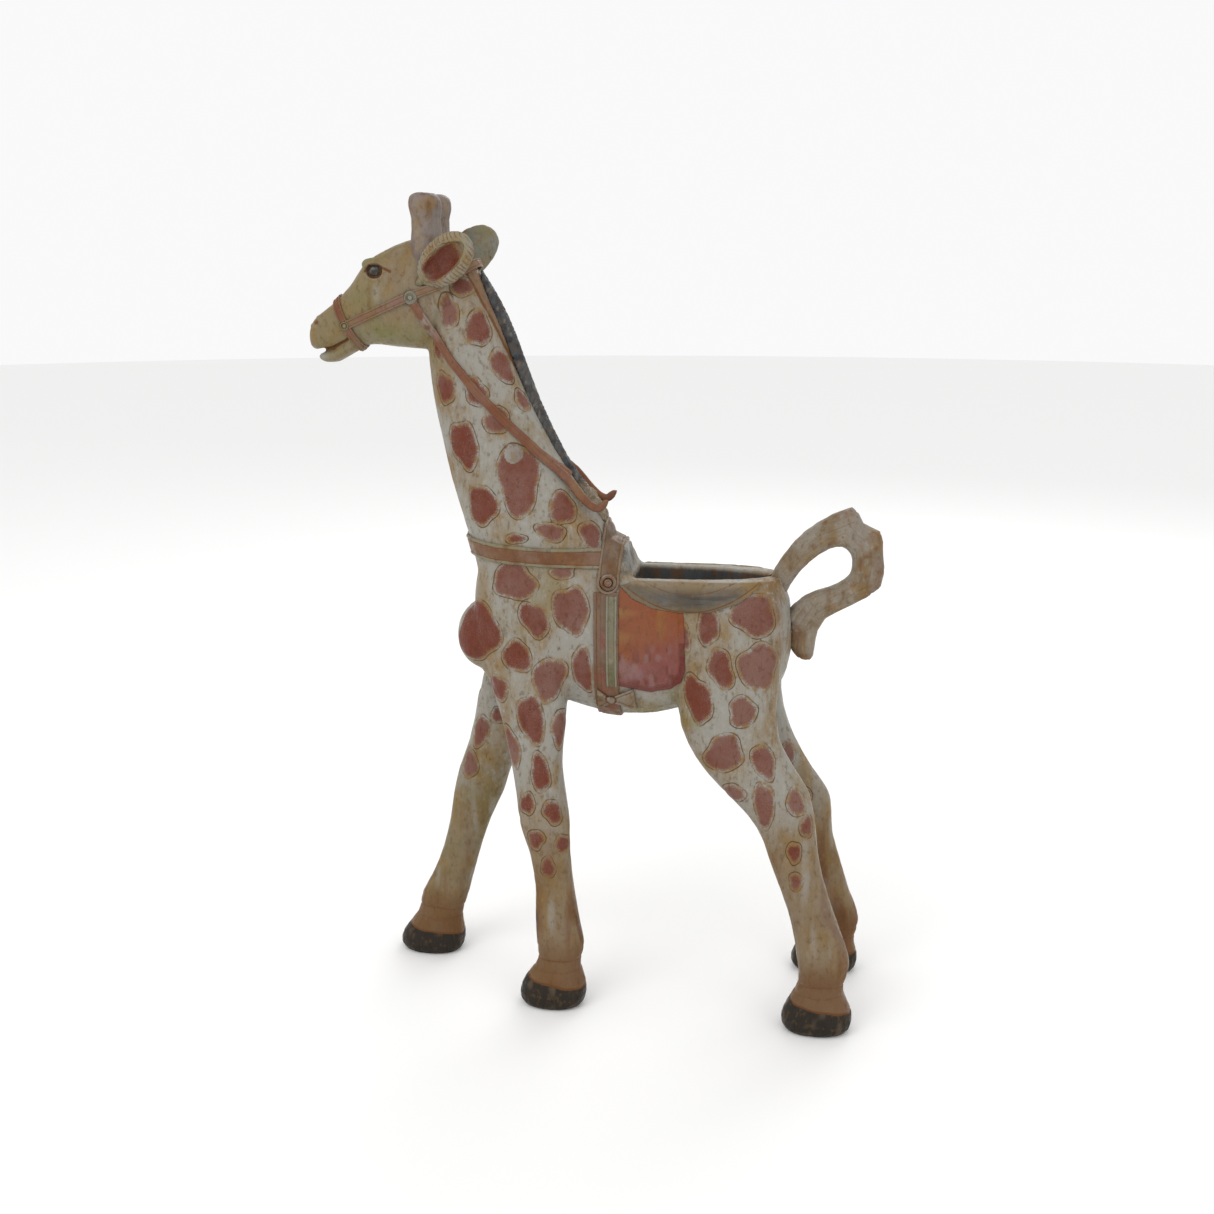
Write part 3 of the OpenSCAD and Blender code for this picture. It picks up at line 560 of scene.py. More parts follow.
# How each paint differs from the plain one
PAINT_CHOICES = {
    "spotted_paint": {},
    "horn_wash": {"spotted": False},
    "eye_paint": {"dry": 0.2, "stain": 0.2, "spotted": False},
    "mane_paint": {"grain": (1, 1, 1), "stain": 0.25, "spotted": False},
    "tail_wash": {"grain": (2, 1, 2), "spotted": False},
    "strap_paint": {"grain": (2, 2, 2), "stain": 0.8, "spotted": False},
    "rein_paint": {"grain": (2, 2, 2), "stain": 0.6, "spotted": False},
    "green_paint": {"grain": (1, 1, 2), "stain": 0.5, "spotted": False},
    "boss_paint": {"grain": (1, 1, 1), "stain": 0.7, "spotted": False},
    "cloth_paint": {"grain": (1, 1, 3), "stain": 0.5, "spotted": False},
    "lip_paint": {"grain": (4, 1, 1), "stain": 0.6, "spotted": False},
}


@functools.cache
def paint_of(name):
    """The paint of that name, mixed when it is first asked for."""
    return DistressedPaint(name, **PAINT_CHOICES[name]).material


# The figure

HEAD_JOINT = ((-170.5, 0, 869), (-132, 0, 55))
TROUGH_FRONT, TROUGH_BACK = 51, 215
RUMP_JOINT = 203
TROUGH_FLOOR, RIM = 451, 546
NECK_JOINT, KNEE_JOINT, HOOF_JOINT = 575, 245, 36
EYE = (-252, 896)
KNOB = (-89, 690)

# Painted spots of one side: x, z, half length, half height, tilt in degrees, strength of the red
NECK_SPOTS = [
    (-149, 880, 12, 11, 0, 0.5), (-164, 851, 11, 16, 8, 0.2), (-130, 833, 13, 20, 8, 0.6),
    (-104, 790, 12, 19, 14, 0.5), (-178, 810, 8, 11, 0, 0.8), (-171, 764, 11, 18, 8, 0.6),
    (-133, 761, 12, 15, 20, 0.55), (-109, 728, 13, 14, 0, 0.3), (-149, 699, 17, 27, 8, 0.95),
    (-83, 661, 25, 38, 8, 0.5), (-127, 629, 17, 24, 8, 0.85), (-82, 750, 8, 11, 15, 0.4),
    (-31, 628, 15, 17, 30, 0.6), (-44, 601, 15, 10, -10, 0.45), (2, 596, 13, 15, 20, 0.6),
    (-85, 592, 10, 5, 0, 0.6),
]
BODY_SPOTS = [
    (-88, 541, 25, 21, 8, 0.45), (-30, 555, 13, 8, 5, 0.2), (-19, 510, 19, 29, 8, 0.4),
    (-63, 497, 16, 20, 25, 0.6), (-138, 475, 33, 37, 0, 1.0), (-85, 451, 16, 18, 0, 0.9),
    (-6, 436, 12, 26, 6, 0.65), (-46, 424, 17, 27, -8, 0.4), (-112, 410, 16, 16, 30, 0.7),
    (142, 496, 12, 20, 8, 0.6), (195, 509, 24, 25, -20, 0.45), (158, 447, 14, 21, 16, 0.65),
    (202, 450, 23, 26, 20, 0.1), (132, 409, 15, 28, 14, 0.9), (185, 397, 16, 16, 20, 0.3),
    (113, 482, 7, 17, 8, 0.4),
]
LEFT_LEG_SPOTS = [
    (-67, 376, 16, 27, 6, 0.85), (-33, 362, 12, 22, 0, 0.45), (-92, 338, 9, 26, 12, 0.4),
    (-56, 309, 11, 21, 6, 0.85), (-73, 269, 9, 13, 0, 0.9), (-41, 260, 10, 14, 6, 0.8),
    (-62, 224, 10, 11, 0, 0.9), (-29, 218, 9, 11, 0, 0.85), (-47, 189, 8, 11, 0, 0.8),
    (164, 346, 22, 21, 20, 0.35), (211, 338, 12, 20, 10, 0.5), (213, 287, 12, 24, 8, 0.6),
    (176, 297, 12, 12, 0, 0.1), (250, 291, 10, 14, 0, 0.1), (264, 263, 8, 11, 0, 0.6),
    (250, 232, 7, 12, 0, 0.7), (253, 196, 7, 9, 0, 0.8),
]
RIGHT_LEG_SPOTS = [
    (-104, 372, 17, 24, -12, 0.7), (-142, 330, 10, 21, -20, 0.5), (-108, 318, 12, 17, -14, 0.85),
    (-153, 280, 9, 15, -14, 0.8), (-130, 262, 8, 13, -14, 0.6), (-168, 236, 8, 12, -14, 0.8),
    (-150, 214, 8, 11, -10, 0.75), (-178, 186, 8, 10, -10, 0.7),
    (150, 352, 20, 23, 22, 0.6), (200, 356, 12, 18, 16, 0.3), (196, 300, 14, 22, 26, 0.85),
    (240, 300, 9, 15, 20, 0.5), (232, 256, 10, 14, 24, 0.7), (262, 238, 8, 12, 16, 0.6),
    (258, 200, 7, 10, 10, 0.75),
]
# Spots on the inner faces of the legs: x, z, half length, half height, tilt, strength, side of y
INNER_SPOTS = [
    (-152, 324, 10, 22, -14, 0.5, 1), (-169, 276, 10, 18, -14, 0.3, 1), (-128, 348, 8, 9, 0, 0.6, 1),
    (238, 312, 9, 14, 16, 0.2, 1), (205, 330, 10, 14, 20, 0.5, 1), (262, 250, 7, 12, 12, 0.5, 1),
    (-66, 330, 12, 22, 6, 0.6, -1), (-60, 270, 9, 14, 4, 0.7, -1), (-56, 222, 8, 11, 0, 0.6, -1),
    (186, 320, 12, 18, 22, 0.6, -1), (228, 270, 9, 15, 18, 0.5, -1), (254, 212, 7, 11, 8, 0.7, -1),
]


def other_side(spots):
    """The same kind of spots for the right side, moved so that the two sides differ."""
    moved = []
    for i, (x, z, a, b, tilt, tone) in enumerate(spots):
        swing = math.sin(2.4 * i + 1)
        place = (x + 9 * swing, z - 8 * math.cos(1.7 * i))
        moved.append((*place, a, b * (1 - 0.12 * swing), -tilt, 1 - 0.8 * tone))
    return moved


def paint_spot(figure, tree, spot, side, start, order):
    """Lays one spot on the surface where a line from the side meets it."""
    x, z, a, b, tilt, tone = spot
    hit, normal, _, _ = tree.ray_cast(Vector((x, start, z)), Vector((0, -side, 0)))
    if hit is None:
        return
    n = np.array(normal)
    centre = np.array(hit)
    level = np.cross([0, 0, 1], n)
    level = level / np.linalg.norm(level) * (1 if level[0] > 0 else -1)
    upward = np.cross(n, level) * (1 if np.cross(n, level)[2] > 0 else -1)
    turn = math.radians(tilt)
    major = math.cos(turn) * level + math.sin(turn) * upward
    minor = -math.sin(turn) * level + math.cos(turn) * upward
    reach = 1.6 * max(a, b) + 12
    near = np.nonzero(np.all(np.abs(figure.place - centre) < reach, axis=1))[0]
    out = figure.place[near] - centre
    u, v, w = out @ major / a, out @ minor / b, out @ n / (1.5 * max(a, b))
    angle = np.arctan2(v, u)
    wobble = (
        0.09 * np.sin(2 * angle + 2.4 * order) + 0.09 * np.sin(3 * angle + 1.3 * order)
        + 0.045 * np.sin(5 * angle + 3.1 * order)
    )
    signed = (1 + wobble - np.sqrt(u * u + v * v + w * w)) * math.sqrt(a * b)
    better = signed > figure.spot[near]
    chosen = near[better]
    figure.spot[chosen] = signed[better]
    figure.tone[chosen] = tone


def paint_spots(figure):
    mesh = figure.mesh
    corners = [tuple(p) for p in figure.place]
    tree = BVHTree.FromPolygons(corners, [tuple(p.vertices) for p in mesh.polygons])
    order = 0
    left = NECK_SPOTS + BODY_SPOTS + LEFT_LEG_SPOTS
    right = other_side(NECK_SPOTS + BODY_SPOTS) + RIGHT_LEG_SPOTS
    for side, spots in ((-1, left), (1, right)):
        for spot in spots:
            order += 1
            paint_spot(figure, tree, spot, side, side * 200, order)
    for spot in INNER_SPOTS:
        order += 1
        paint_spot(figure, tree, spot[:6], -spot[6], 0, order)


def from_knob(place):
    """Distance from the middle of the pale knob on the left of the neck."""
    return np.hypot(place[:, 0] - KNOB[0], place[:, 2] - KNOB[1]) + 99 * (place[:, 1] >= 0)


def cut_spot_lines(figure):
    """The knife line round each spot, and the spot itself standing slightly proud."""
    carving = bpy.context.scene.giraffe_carving
    gap, width = carving.line_gap / MM, carving.knife_width / MM
    fade = 0.35 + 0.65 * steps(-0.4, 0.5, noise(figure.place, 31, 11))
    ring = figure.cut(figure.spot + gap, width, carving.knife_depth / MM, fade, 0.35)
    return ring + 0.4 * steps(-1.5, 1.5, figure.spot) + 1.6 * steps(12, 7, from_knob(figure.place))


def face_cuts(figure):
    """Eyes, nostrils, mouth, brow and cheek, the same on both sides."""
    place = figure.place
    head = place[:, 0] < -175
    x, z = place[:, 0] - EYE[0], place[:, 2] - EYE[1]
    facing = head & (np.abs(figure.normal[:, 1]) > 0.25)
    turn = math.radians(-8)
    u, v = math.cos(turn) * x + math.sin(turn) * z, -math.sin(turn) * x + math.cos(turn) * z
    almond = np.sqrt((u / 9.8) ** 2 + (v / 7.2) ** 2)
    height = facing * (-3.2 * steps(1.02, 0.86, almond) + 1.4 * bell(almond - 1.3, 0.2))
    lid = [(-264, 896), (-258, 903), (-249, 904), (-241, 900), (-232, 896)]
    height += figure.groove(lid, 1.6, 1.2, facing, 1.6)
    socket = steps(1.25, 1.0, almond) * facing
    figure.line = np.maximum(figure.line, 1.7 * socket)
    brow = beside(place, [(-272, 905), (-256, 914), (-236, 908)])[0]
    height += 0.4 * bell(brow, 6) * facing
    height += figure.groove([(-257, 880), (-258, 862), (-256, 850)], 1.4, 0.4, facing, 0.55)
    height += figure.groove([(-228, 890), (-216, 872), (-214, 850), (-232, 832)], 5, 0.8, facing, 0.15)
    nostril = np.sqrt(((place[:, 0] + 329) / 5.2) ** 2 + ((place[:, 2] - 838) / 3.6) ** 2)
    figure.line = np.maximum(figure.line, 1.35 * bell(nostril, 0.9) * facing)
    height += facing * (-2.6 * bell(nostril, 0.85) + 0.9 * bell(nostril - 1.7, 0.4))
    mouth = [(-345, 801), (-330, 804), (-310, 808), (-292, 817), (-284, 824)]
    height += figure.groove(mouth, 1.7, 2.2, head * (place[:, 2] < 840), 1.9)
    return height


MANE_LINE = [(-150, 903), (-136, 880), (-113, 835), (-92, 790), (-71, 745), (-47, 700), (-27, 668)]


def hair_cuts(figure):
    """Short strokes below the ear, and the long line that bounds the mane."""
    place = figure.place
    distance, across, along = beside(place, MANE_LINE)
    height = figure.cut(distance, 1.9, 1.0, 1.0, 1.0)
    figure.line = np.maximum(figure.line, 0.55 * bell(distance, 4.5))
    strip = steps(-1, 2, across) * steps(30, 22, across)
    strip = strip * steps(895, 880, place[:, 2]) * steps(650, 670, place[:, 2])
    teeth = np.abs((along + 0.5 * across + 4 * noise(place, 13, 15)) % 6.5 - 3.2)
    height += figure.cut(teeth, 0.9, 0.7, strip * steps(4, 9, across), 1.0)
    for i in range(9):
        root = (-199 + 4.5 * i, 862 + 1.6 * i)
        tip = (root[0] + 5, root[1] - 13)
        height += figure.groove([root, tip], 1.0, 0.5, np.abs(place[:, 1]) > 18, 0.4)
    return height


def muscle_cuts(figure):
    """Creases where legs meet the trunk, knees, hocks and pasterns."""
    place = figure.place
    outer = steps(20, 34, np.abs(place[:, 1]))
    left = outer * (place[:, 1] < 0)
    right = outer * (place[:, 1] > 0)
    height = np.zeros(len(place))
    creases = [
        ([(-128, 430), (-112, 400), (-104, 370)], 5, 1.4, left),
        ([(-20, 430), (-26, 400), (-27, 372)], 5, 1.4, left),
        ([(-146, 430), (-152, 400), (-154, 380)], 5, 1.4, right),
        ([(-40, 430), (-50, 396), (-62, 366)], 5, 1.4, right),
        ([(108, 440), (104, 410), (106, 380)], 6, 1.5, outer),
        ([(225, 450), (222, 415), (220, 385)], 7, 1.0, outer),
        ([(-98, 250), (-80, 243), (-50, 247)], 4, 0.8, left),
        ([(-80, 178), (-60, 172), (-30, 176)], 4, 0.5, left),
        ([(212, 262), (240, 254), (268, 262)], 5, 0.8, outer),
    ]
    for route, width, depth, where in creases:
        height += figure.groove(route, width, depth, where, 0.25)
    low = place[:, 2] < 120
    wave = 2.5 * noise(place, 22, 5)
    for level, width, depth, stain in ((64, 2.2, 1.0, 0.7), (50, 2.0, 0.8, 0.55), (78, 3.0, 0.5, 0.3)):
        height += figure.cut(place[:, 2] - level - wave, width, depth, low, stain)
    hoof = hoof_line(place)
    height += figure.cut(hoof, 1.6, 1.0, low, 1.2)
    rings = bell((place[:, 2] - 1.5 * noise(place, 30, 3)) % 8 - 4, 1.6) * (hoof < -3) * (place[:, 2] > 3)
    return height - 0.35 * rings


def hoof_line(place):
    """Height above the slanting line where the hoof paint begins."""
    middle = np.where(place[:, 0] < -140, -232, np.where(place[:, 0] < 60, -45, 288))
    return place[:, 2] - (34 - 0.14 * (place[:, 0] - middle) + 2.0 * noise(place, 14, 9))


def in_trough(place):
    """Share of the dark trough paint at each place."""
    x, y, z = place.T
    t = np.clip((x - TROUGH_FRONT) / (TROUGH_BACK - TROUGH_FRONT), 0, 1)
    edge = 38 * (1 - t ** 2.6) ** 0.62 + 2.2
    near = (x > TROUGH_FRONT - 2.5) & (x < TROUGH_BACK + 2) & (z > TROUGH_FLOOR - 3)
    return near * (np.abs(y) < edge) * steps(RIM - 0.5, RIM - 5, z)


# Washes in the side view: centre x and z, reach along x and z, name of the paint, strength
HEAD_WASHES = [
    ((-240, 824), (50, 15), "olive", 0.95), ((-262, 866), (26, 24), "olive", 0.5),
    ((-258, 912), (22, 12), "olive", 0.9), ((-225, 905), (20, 24), "tan", 0.8),
    ((-222, 868), (20, 26), "tan", 0.6), ((-318, 806), (22, 9), "olive", 0.5),
    ((-190, 890), (12, 15), "stain", 0.5), ((-258, 864), (3, 22), "stain", 0.35),
    ((-281, 822), (12, 12), "stain", 0.3), ((-249, 872), (4, 9), "chalk", 0.7),
    ((-340, 838), (10, 12), "ochre", 0.5),
]
BODY_WASHES = [
    ((10, 596), (24, 24), "ochre", 0.7), ((12, 618), (16, 20), "stain", 0.5),
    ((222, 500), (12, 60), "stain", 0.5), ((216, 545), (16, 16), "stain", 0.5),
    ((22, 470), (30, 120), "stain", 0.28), ((-52, 398), (14, 20), "ochre", 0.5),
    ((-110, 372), (12, 30), "stain", 0.35), ((98, 400), (12, 26), "olive", 0.6),
    ((40, 380), (60, 12), "stain", 0.35), ((-150, 560), (14, 30), "ochre", 0.45),
    ((-125, 575), (30, 8), "stain", 0.25), ((-140, 790), (20, 90), "ochre", 0.18),
    ((240, 395), (14, 40), "stain", 0.3), ((-172, 720), (12, 90), "tan", 0.35),
]


def wash_over(figure, washes, where):
    x, _, z = figure.place.T
    for centre, reach, colour, strength in washes:
        share = np.exp(-(((x - centre[0]) / reach[0]) ** 2) - ((z - centre[1]) / reach[1]) ** 2)
        figure.tint(colour, strength * share * where)


def colour_figure(figure):
    """Ground coat of each region, with a painted shadow beside the mane and painted shade deep in the
    trough.
    """
    place = figure.place
    x, y, z = place.T
    cloud = 0.5 + 0.5 * noise(place, 34, 21)
    figure.coat("cream")
    wash_over(figure, BODY_WASHES, 0.5 + cloud)
    figure.tint("olive", 0.3 * steps(0.55, 0.9, 0.5 + 0.5 * noise(place, (40, 40, 60), 23)))
    # Painted shadow of the mane: a red-brown strip beside it on the neck, with less chalk and its spots
    # kept away
    _, across, _ = beside(place, MANE_LINE)
    strip = steps(-3, 2, across) * steps(34, 24, across) * (z > 655) * (z < 905)
    figure.tint("mane_edge", 0.8 * strip)
    figure.chalk = 1 - 0.8 * strip
    figure.spot = np.where(strip > 0.5, figure.spot - 7, figure.spot)
    colour_legs(figure, cloud)
    head = steps(-150, -190, x) * steps(770, 800, z)
    figure.tint("face", 0.9 * head)
    figure.tint("ochre", 0.7 * steps(-322, -336, x) * (z > 812))
    wash_over(figure, HEAD_WASHES, head)
    figure.chalk = figure.chalk * (1 - 0.72 * head)
    figure.tint("chalk", 0.85 * bell(x + 326, 9) * bell(z - 800, 7))
    figure.tint("ochre", 0.6 * bell(z - 541, 7) * (x > 35) * cloud)
    knob = from_knob(place)
    figure.spot = np.where(knob < 11, -8, figure.spot)
    figure.tint("knob", steps(13, 8, knob))
    dark = in_trough(place)
    figure.tint("slate", dark)
    drips = steps(0.1, 0.5, noise(place, (9, 9, 50), 41)) * steps(470, 500, z)
    figure.tint("drip", dark * drips * 0.85)
    # Painted shade: near-black deeper down inside the trough, over the slate paint
    figure.tint("trough_black", dark * steps(530, 505, z) * 0.85)
    figure.chalk *= 1 - 0.92 * dark
    figure.tint("slate", 0.85 * bell(x - 44, 9) * steps(548, 556, z) * steps(600, 590, z))
    covered = (np.abs(x - 22) < 17) & (z < 560)
    figure.spot = np.where((dark > 0.3) | covered, -60, figure.spot)


def colour_legs(figure, cloud):
    """Streaky tan legs, rust pasterns and charcoal hooves, with the far front leg tinted olive and
    darkened as painted shade.
    """
    place = figure.place
    x, y, z = place.T
    legs = steps(330, 190, z)
    figure.tint("olive", 0.75 * steps(408, 378, z) * steps(365, 378, z) * (x > -30) * (x < 150))
    figure.tint("tan", legs * (0.6 + 0.4 * cloud))
    # Olive tint together with painted shade, on the far front leg only
    figure.tint("moss", 0.8 * legs * ((y > 0) & (x < 0)) * cloud)
    figure.chalk *= 1 - 0.75 * legs
    runs = noise(place, (11, 11, 110), 25)
    figure.tint("stain", 0.85 * steps(0.1, 0.6, runs) * steps(300, 110, z))
    figure.tint("umber", 0.5 * steps(0.55, 0.85, runs) * steps(220, 120, z))
    figure.tint("chalk", 0.55 * steps(-0.2, -0.8, runs) * legs * steps(90, 120, z))
    figure.tint("rust", steps(104, 66, z + 10 * runs) * (0.6 + 0.4 * cloud))
    figure.chalk *= 1 - 0.7 * steps(110, 70, z)
    below = steps(1.2, -1.2, hoof_line(place))
    figure.tint("hoof", below)
    figure.tint("hoof_wear", below * steps(0.25, 0.75, noise(place, (10, 10, 16), 33)) * 0.7)
    figure.chalk *= 1 - 0.96 * below


LEG_NAMES = ("front_left", "front_right", "rear_left", "rear_right")
FIGURE_NODES = [
    "trunk_left_side", "trunk_right_side", "trunk_floor", "chest_block", "rump_block",
    "neck_block", "head_block", "eyes",
    *(f"{leg}_{part}" for leg in LEG_NAMES for part in ("upper_leg", "lower_leg", "hoof")),
]


def part_figure(mesh):
    """Cuts the figure at its glue joints and names each block."""
    blocks = {}
    rest, blocks["head_block"] = halved(mesh, *HEAD_JOINT)
    low, blocks["neck_block"] = halved(rest, (0, 0, NECK_JOINT), (0, 0, 1))
    front, back = halved(low, (TROUGH_FRONT + 4, 0, 0), (1, 0, 0))
    blocks["chest_block"], front_legs = halved(front, (-80, 0, 382), (-0.32, 0, -1))
    trunk, rear_legs = halved(back, (165, 0, 383), (0.25, 0, -1))
    trunk, blocks["rump_block"] = halved(trunk, (RUMP_JOINT, 0, 0), (1, 0, 0))
    blocks["trunk_floor"], walls = halved(trunk, (0, 0, TROUGH_FLOOR), (0, 0, 1))
    blocks["trunk_left_side"], blocks["trunk_right_side"] = halved(walls, (0, 0, 0), (0, 1, 0))
    for end, legs in (("front", front_legs), ("rear", rear_legs)):
        for side, leg in zip(("left", "right"), halved(legs, (0, 0, 0), (0, 1, 0))):
            below, blocks[f"{end}_{side}_upper_leg"] = halved(leg, (0, 0, KNEE_JOINT), (0, 0, 1))
            hoof, shin = halved(below, (0, 0, HOOF_JOINT), (0, 0, 1))
            blocks[f"{end}_{side}_hoof"], blocks[f"{end}_{side}_lower_leg"] = hoof, shin
    return blocks


def carve_figure():
    carving = bpy.context.scene.giraffe_carving
    grain = carving.figure_grain * 1
    figure = Carving(FIGURE_NODES, grain)
    place = figure.place
    rim = (place[:, 2] > RIM - 14) & (place[:, 0] > 30) & (place[:, 0] < 225)
    mouth = (place[:, 0] < -285) & (place[:, 2] < 835)
    gentle = np.where(rim | mouth, 0.1, np.where(place[:, 0] < -185, 0.3, 0.5))
    figure.sand(int(carving.rounding * (1.6 * MM / grain) ** 2), gentle, 0.45)
    paint_spots(figure)
    chisel = carving.chisel_depth / MM
    height = rough(figure.place, (16, 16, 26), 1) + 0.35 * rough(figure.place, (5, 5, 9), 2)
    height = chisel * height * (1 - 0.7 * (figure.place[:, 0] < -175))
    height += cut_spot_lines(figure) + face_cuts(figure) + hair_cuts(figure) + muscle_cuts(figure)
    figure.push(height)
    figure.place[:, 2] = np.maximum(figure.place[:, 2], 0)
    figure.find_normals()
    colour_figure(figure)
    paint = paint_of("spotted_paint")
    for name, mesh in part_figure(figure.store()).items():
        made = piece(f"painted_{name}", mesh, paint, [name])
        mark_caps(made.data)


def mark_caps(mesh):
    """Keeps the rims of the glue faces crisp after the whole piece is shaded smooth."""
    work = bmesh.new()
    work.from_mesh(mesh)
    for face in work.faces:
        face.smooth = True
    work.edges.ensure_lookup_table()
    for edge in work.edges:
        if len(edge.link_faces) == 2 and edge.calc_face_angle(0) > 0.9:
            edge.smooth = False
    work.to_mesh(mesh)
    work.free()


# Loose carved parts

def carved_part(name, node, grain, rounds, swell, detail, paint):
    """A smaller part: skinned, sanded, given its detail, painted and put in place of its node."""
    part = Carving([node], grain * 1 * MM)
    part.sand(rounds, swell=swell)
    part.push(detail(part))
    piece(name, part.store(), paint_of(paint), [node])


# Root, way to the tip and way across the hollow of the left and the right ear, mirrored to +y
EARS = {-1: ((-190, 34, 889), (0.72, 0.38, 0.52), (-0.58, 0.03, 0.78)),
        1: ((-182, 34, 892), (0.66, 0.40, 0.65), (-0.70, -0.02, 0.73))}


def ear_detail(part):
    """A scalloped rim round a long red hollow, on the outer face only."""
    side = int(np.sign(part.place[:, 1].mean()))
    root, way, up = (np.array(v, float) for v in EARS[side])
    way /= np.linalg.norm(way)
    faced = np.cross(up, way)
    faced /= np.linalg.norm(faced)
    out = part.place * (1, side, 1) - root
    along = out @ way
    across = out @ np.cross(way, faced)
    t = np.clip(along / 78, 0, 1)
    leaf = 25.5 * np.sin(np.pi * np.clip(0.12 + 0.86 * t, 0, 1)) ** 0.55
    rim = np.abs(across) / leaf
    open_face = steps(0.05, 0.4, (part.normal * (1, side, 1)) @ faced)
    part.coat("ear_front", 0.3)
    part.tint("ear_back", 1 - open_face)
    part.blotch("olive", 0.4, 0.0, 0.6, 20, 3, (1 - open_face))
    hollow = steps(0.68, 0.36, rim) * steps(2, 12, along) * steps(72, 44, along) * open_face
    part.spot = -5 + 9.5 * hollow + 2.0 * noise(part.place, 6, 2)
    part.tone = np.full(len(along), 1.0) - 0.5 * steps(0.2, 1, noise(part.place, 12, 8))
    part.tint("ear_hollow", 0.85 * hollow)
    part.tint("ochre", 0.7 * open_face * steps(0.5, 0.8, rim) * (0.5 + 0.5 * noise(part.place, 9, 6)))
    part.tint("olive", 0.5 * open_face * steps(20, 0, along))
    strokes = np.abs((along + 2.5 * np.sign(across) + 2.5 * noise(part.place, 9, 5)) % 5.4 - 2.7)
    height = part.cut(strokes, 0.9, 1.2, open_face * steps(0.45, 0.8, rim), 0.45)
    part.chalk += 0.5 * open_face * steps(0.4, 0.8, rim)
    return height + 0.25 * rough(part.place, 7, 4)


def horn_detail(part):
    place = part.place
    part.coat("horn", 0.35)
    part.blotch("stain", 0.8, 0.1, 0.7, (7, 7, 22), 51, steps(935, 965, place[:, 2]))
    part.tint("tan", 0.6 * steps(940, 920, place[:, 2]))
    part.blotch("horn_shade", 0.6, 0.0, 0.5, (9, 9, 26), 53)
    around = np.degrees(np.arctan2(place[:, 1] - 20 * np.sign(place[:, 1]), place[:, 0] + 191))
    return 0.5 * rough(place, (9, 9, 20), 52) + part.cut(np.abs(around % 14 - 7), 1.6, 0.25, 1.0, 0.15)


def mane_detail(part):
    """Uneven clumps of hair cut slantwise, with a rough tan tuft at the withers."""
    place = part.place
    ridge = [(-142, 900), (-108, 841), (-65, 749), (-33, 684), (-5, 642), (12, 622), (17, 603)]
    _, across, along = beside(place, ridge)
    part.coat("slate", 0.12)
    part.blotch("mane_black", 0.85, -0.3, 0.4, (7, 7, 7), 61)
    part.blotch("mane_grey", 0.6, 0.25, 0.7, (4, 4, 7), 62)
    tuft = steps(662, 640, place[:, 2])
    part.tint("tuft", 0.95 * tuft)
    part.blotch("tuft_green", 0.6, 0.0, 0.5, 5, 66, tuft)
    slant = along + 0.7 * across + 7 * noise(place, 15, 63) + 2.5 * np.sign(place[:, 1])
    lock = 0.6 + 0.4 * noise(place, 12, 67)
    height = part.cut(np.abs(slant % 8.2 - 4.1), 1.3, 1.5, lock * (1 - 0.5 * tuft), 0.3)
    height += part.cut(np.abs((slant + 2 * noise(place, 6, 68)) % 3.1 - 1.5), 0.6, 0.4, 1.0, 0.12)
    height += tuft * (1.2 + 2.2 * rough(place, 6, 64))
    part.chalk += 0.3 * tuft
    return height


def tail_detail(part):
    """Long shallow hair grooves along the ring, stained at its corners."""
    place = part.place
    middle = [
        (212, 517), (225, 545), (246, 575), (271, 595), (298, 606), (309, 594), (321, 585), (324, 562),
        (320, 540), (293, 523), (265, 509), (249, 486), (249, 458), (253, 445),
    ]
    _, across, along = beside(place, middle)
    part.coat("tail", 0.6)
    part.tint("tan", 0.8 * steps(60, 15, along))
    corners = [
        (302, 625, 14), (332, 600, 14), (338, 560, 12), (335, 535, 14), (252, 446, 16), (240, 480, 14),
    ]
    for x, z, reach in corners:
        share = bell(np.hypot(place[:, 0] - x, place[:, 2] - z), reach)
        part.tint("stain", share * (0.7 + 0.5 * noise(place, 8, 71)))
    part.blotch("stain", 0.7, 0.25, 0.6, (9, 9, 9), 74)
    wave = across + 1.4 * noise(place, 24, 72)
    height = part.cut(np.abs(wave % 8.5 - 4.25), 1.3, 0.7, 1.0, 0.28)
    return height + 0.4 * rough(place, 12, 73)


def eye_detail(part):
    part.coat("eyeball", 0.08)
    ring = np.hypot(part.place[:, 0] + 253, part.place[:, 2] - 896)
    fleck = steps(0.0, 0.6, noise(part.place, 2.6, 77))
    part.tint("iris", bell(ring - 4.6, 1.8) * fleck)
    part.tint("glint", 0.8 * bell(part.place[:, 0] + 255, 1.6) * bell(part.place[:, 2] - 899, 1.8))
    part.tint("umber", bell(ring, 2.2))
    return -0.25 * bell(ring - 3.4, 0.7)


def strap_detail(route, width, colour, piping):
    """A flat strap with a raised welt along each edge and cut lines beside the welts."""
    def detail(part):
        place = part.place
        distance = beside(place, route)[0]
        half = width / 2
        part.coat(colour, 0.22)
        part.tint(piping, steps(half - 4.2, half - 3.2, distance))
        part.blotch("stain", 0.6, 0.2, 0.7, 12, 81)
        height = part.cut(distance - (half - 3.8), 0.7, 0.7, 1.0, 1.0)
        height += 0.45 * bell(distance - (half - 1.8), 1.6)
        return height + 0.15 * rough(place, 8, 82)
    return detail


NOSEBAND = [(-309, 876), (-291, 834), (-269, 796)]
CHEEK = [(-291, 834), (-209, 868), (-173, 881), (-125, 912)]
REIN = [(-207, 866), (-187, 832), (-163, 797), (-129, 757), (-94, 722), (-59, 689), (-27, 662), (0, 632)]
BREAST = [(-175, 581), (-110, 573), (-45, 570), (14, 570)]
WITHERS = [(30, 640), (24, 543)]


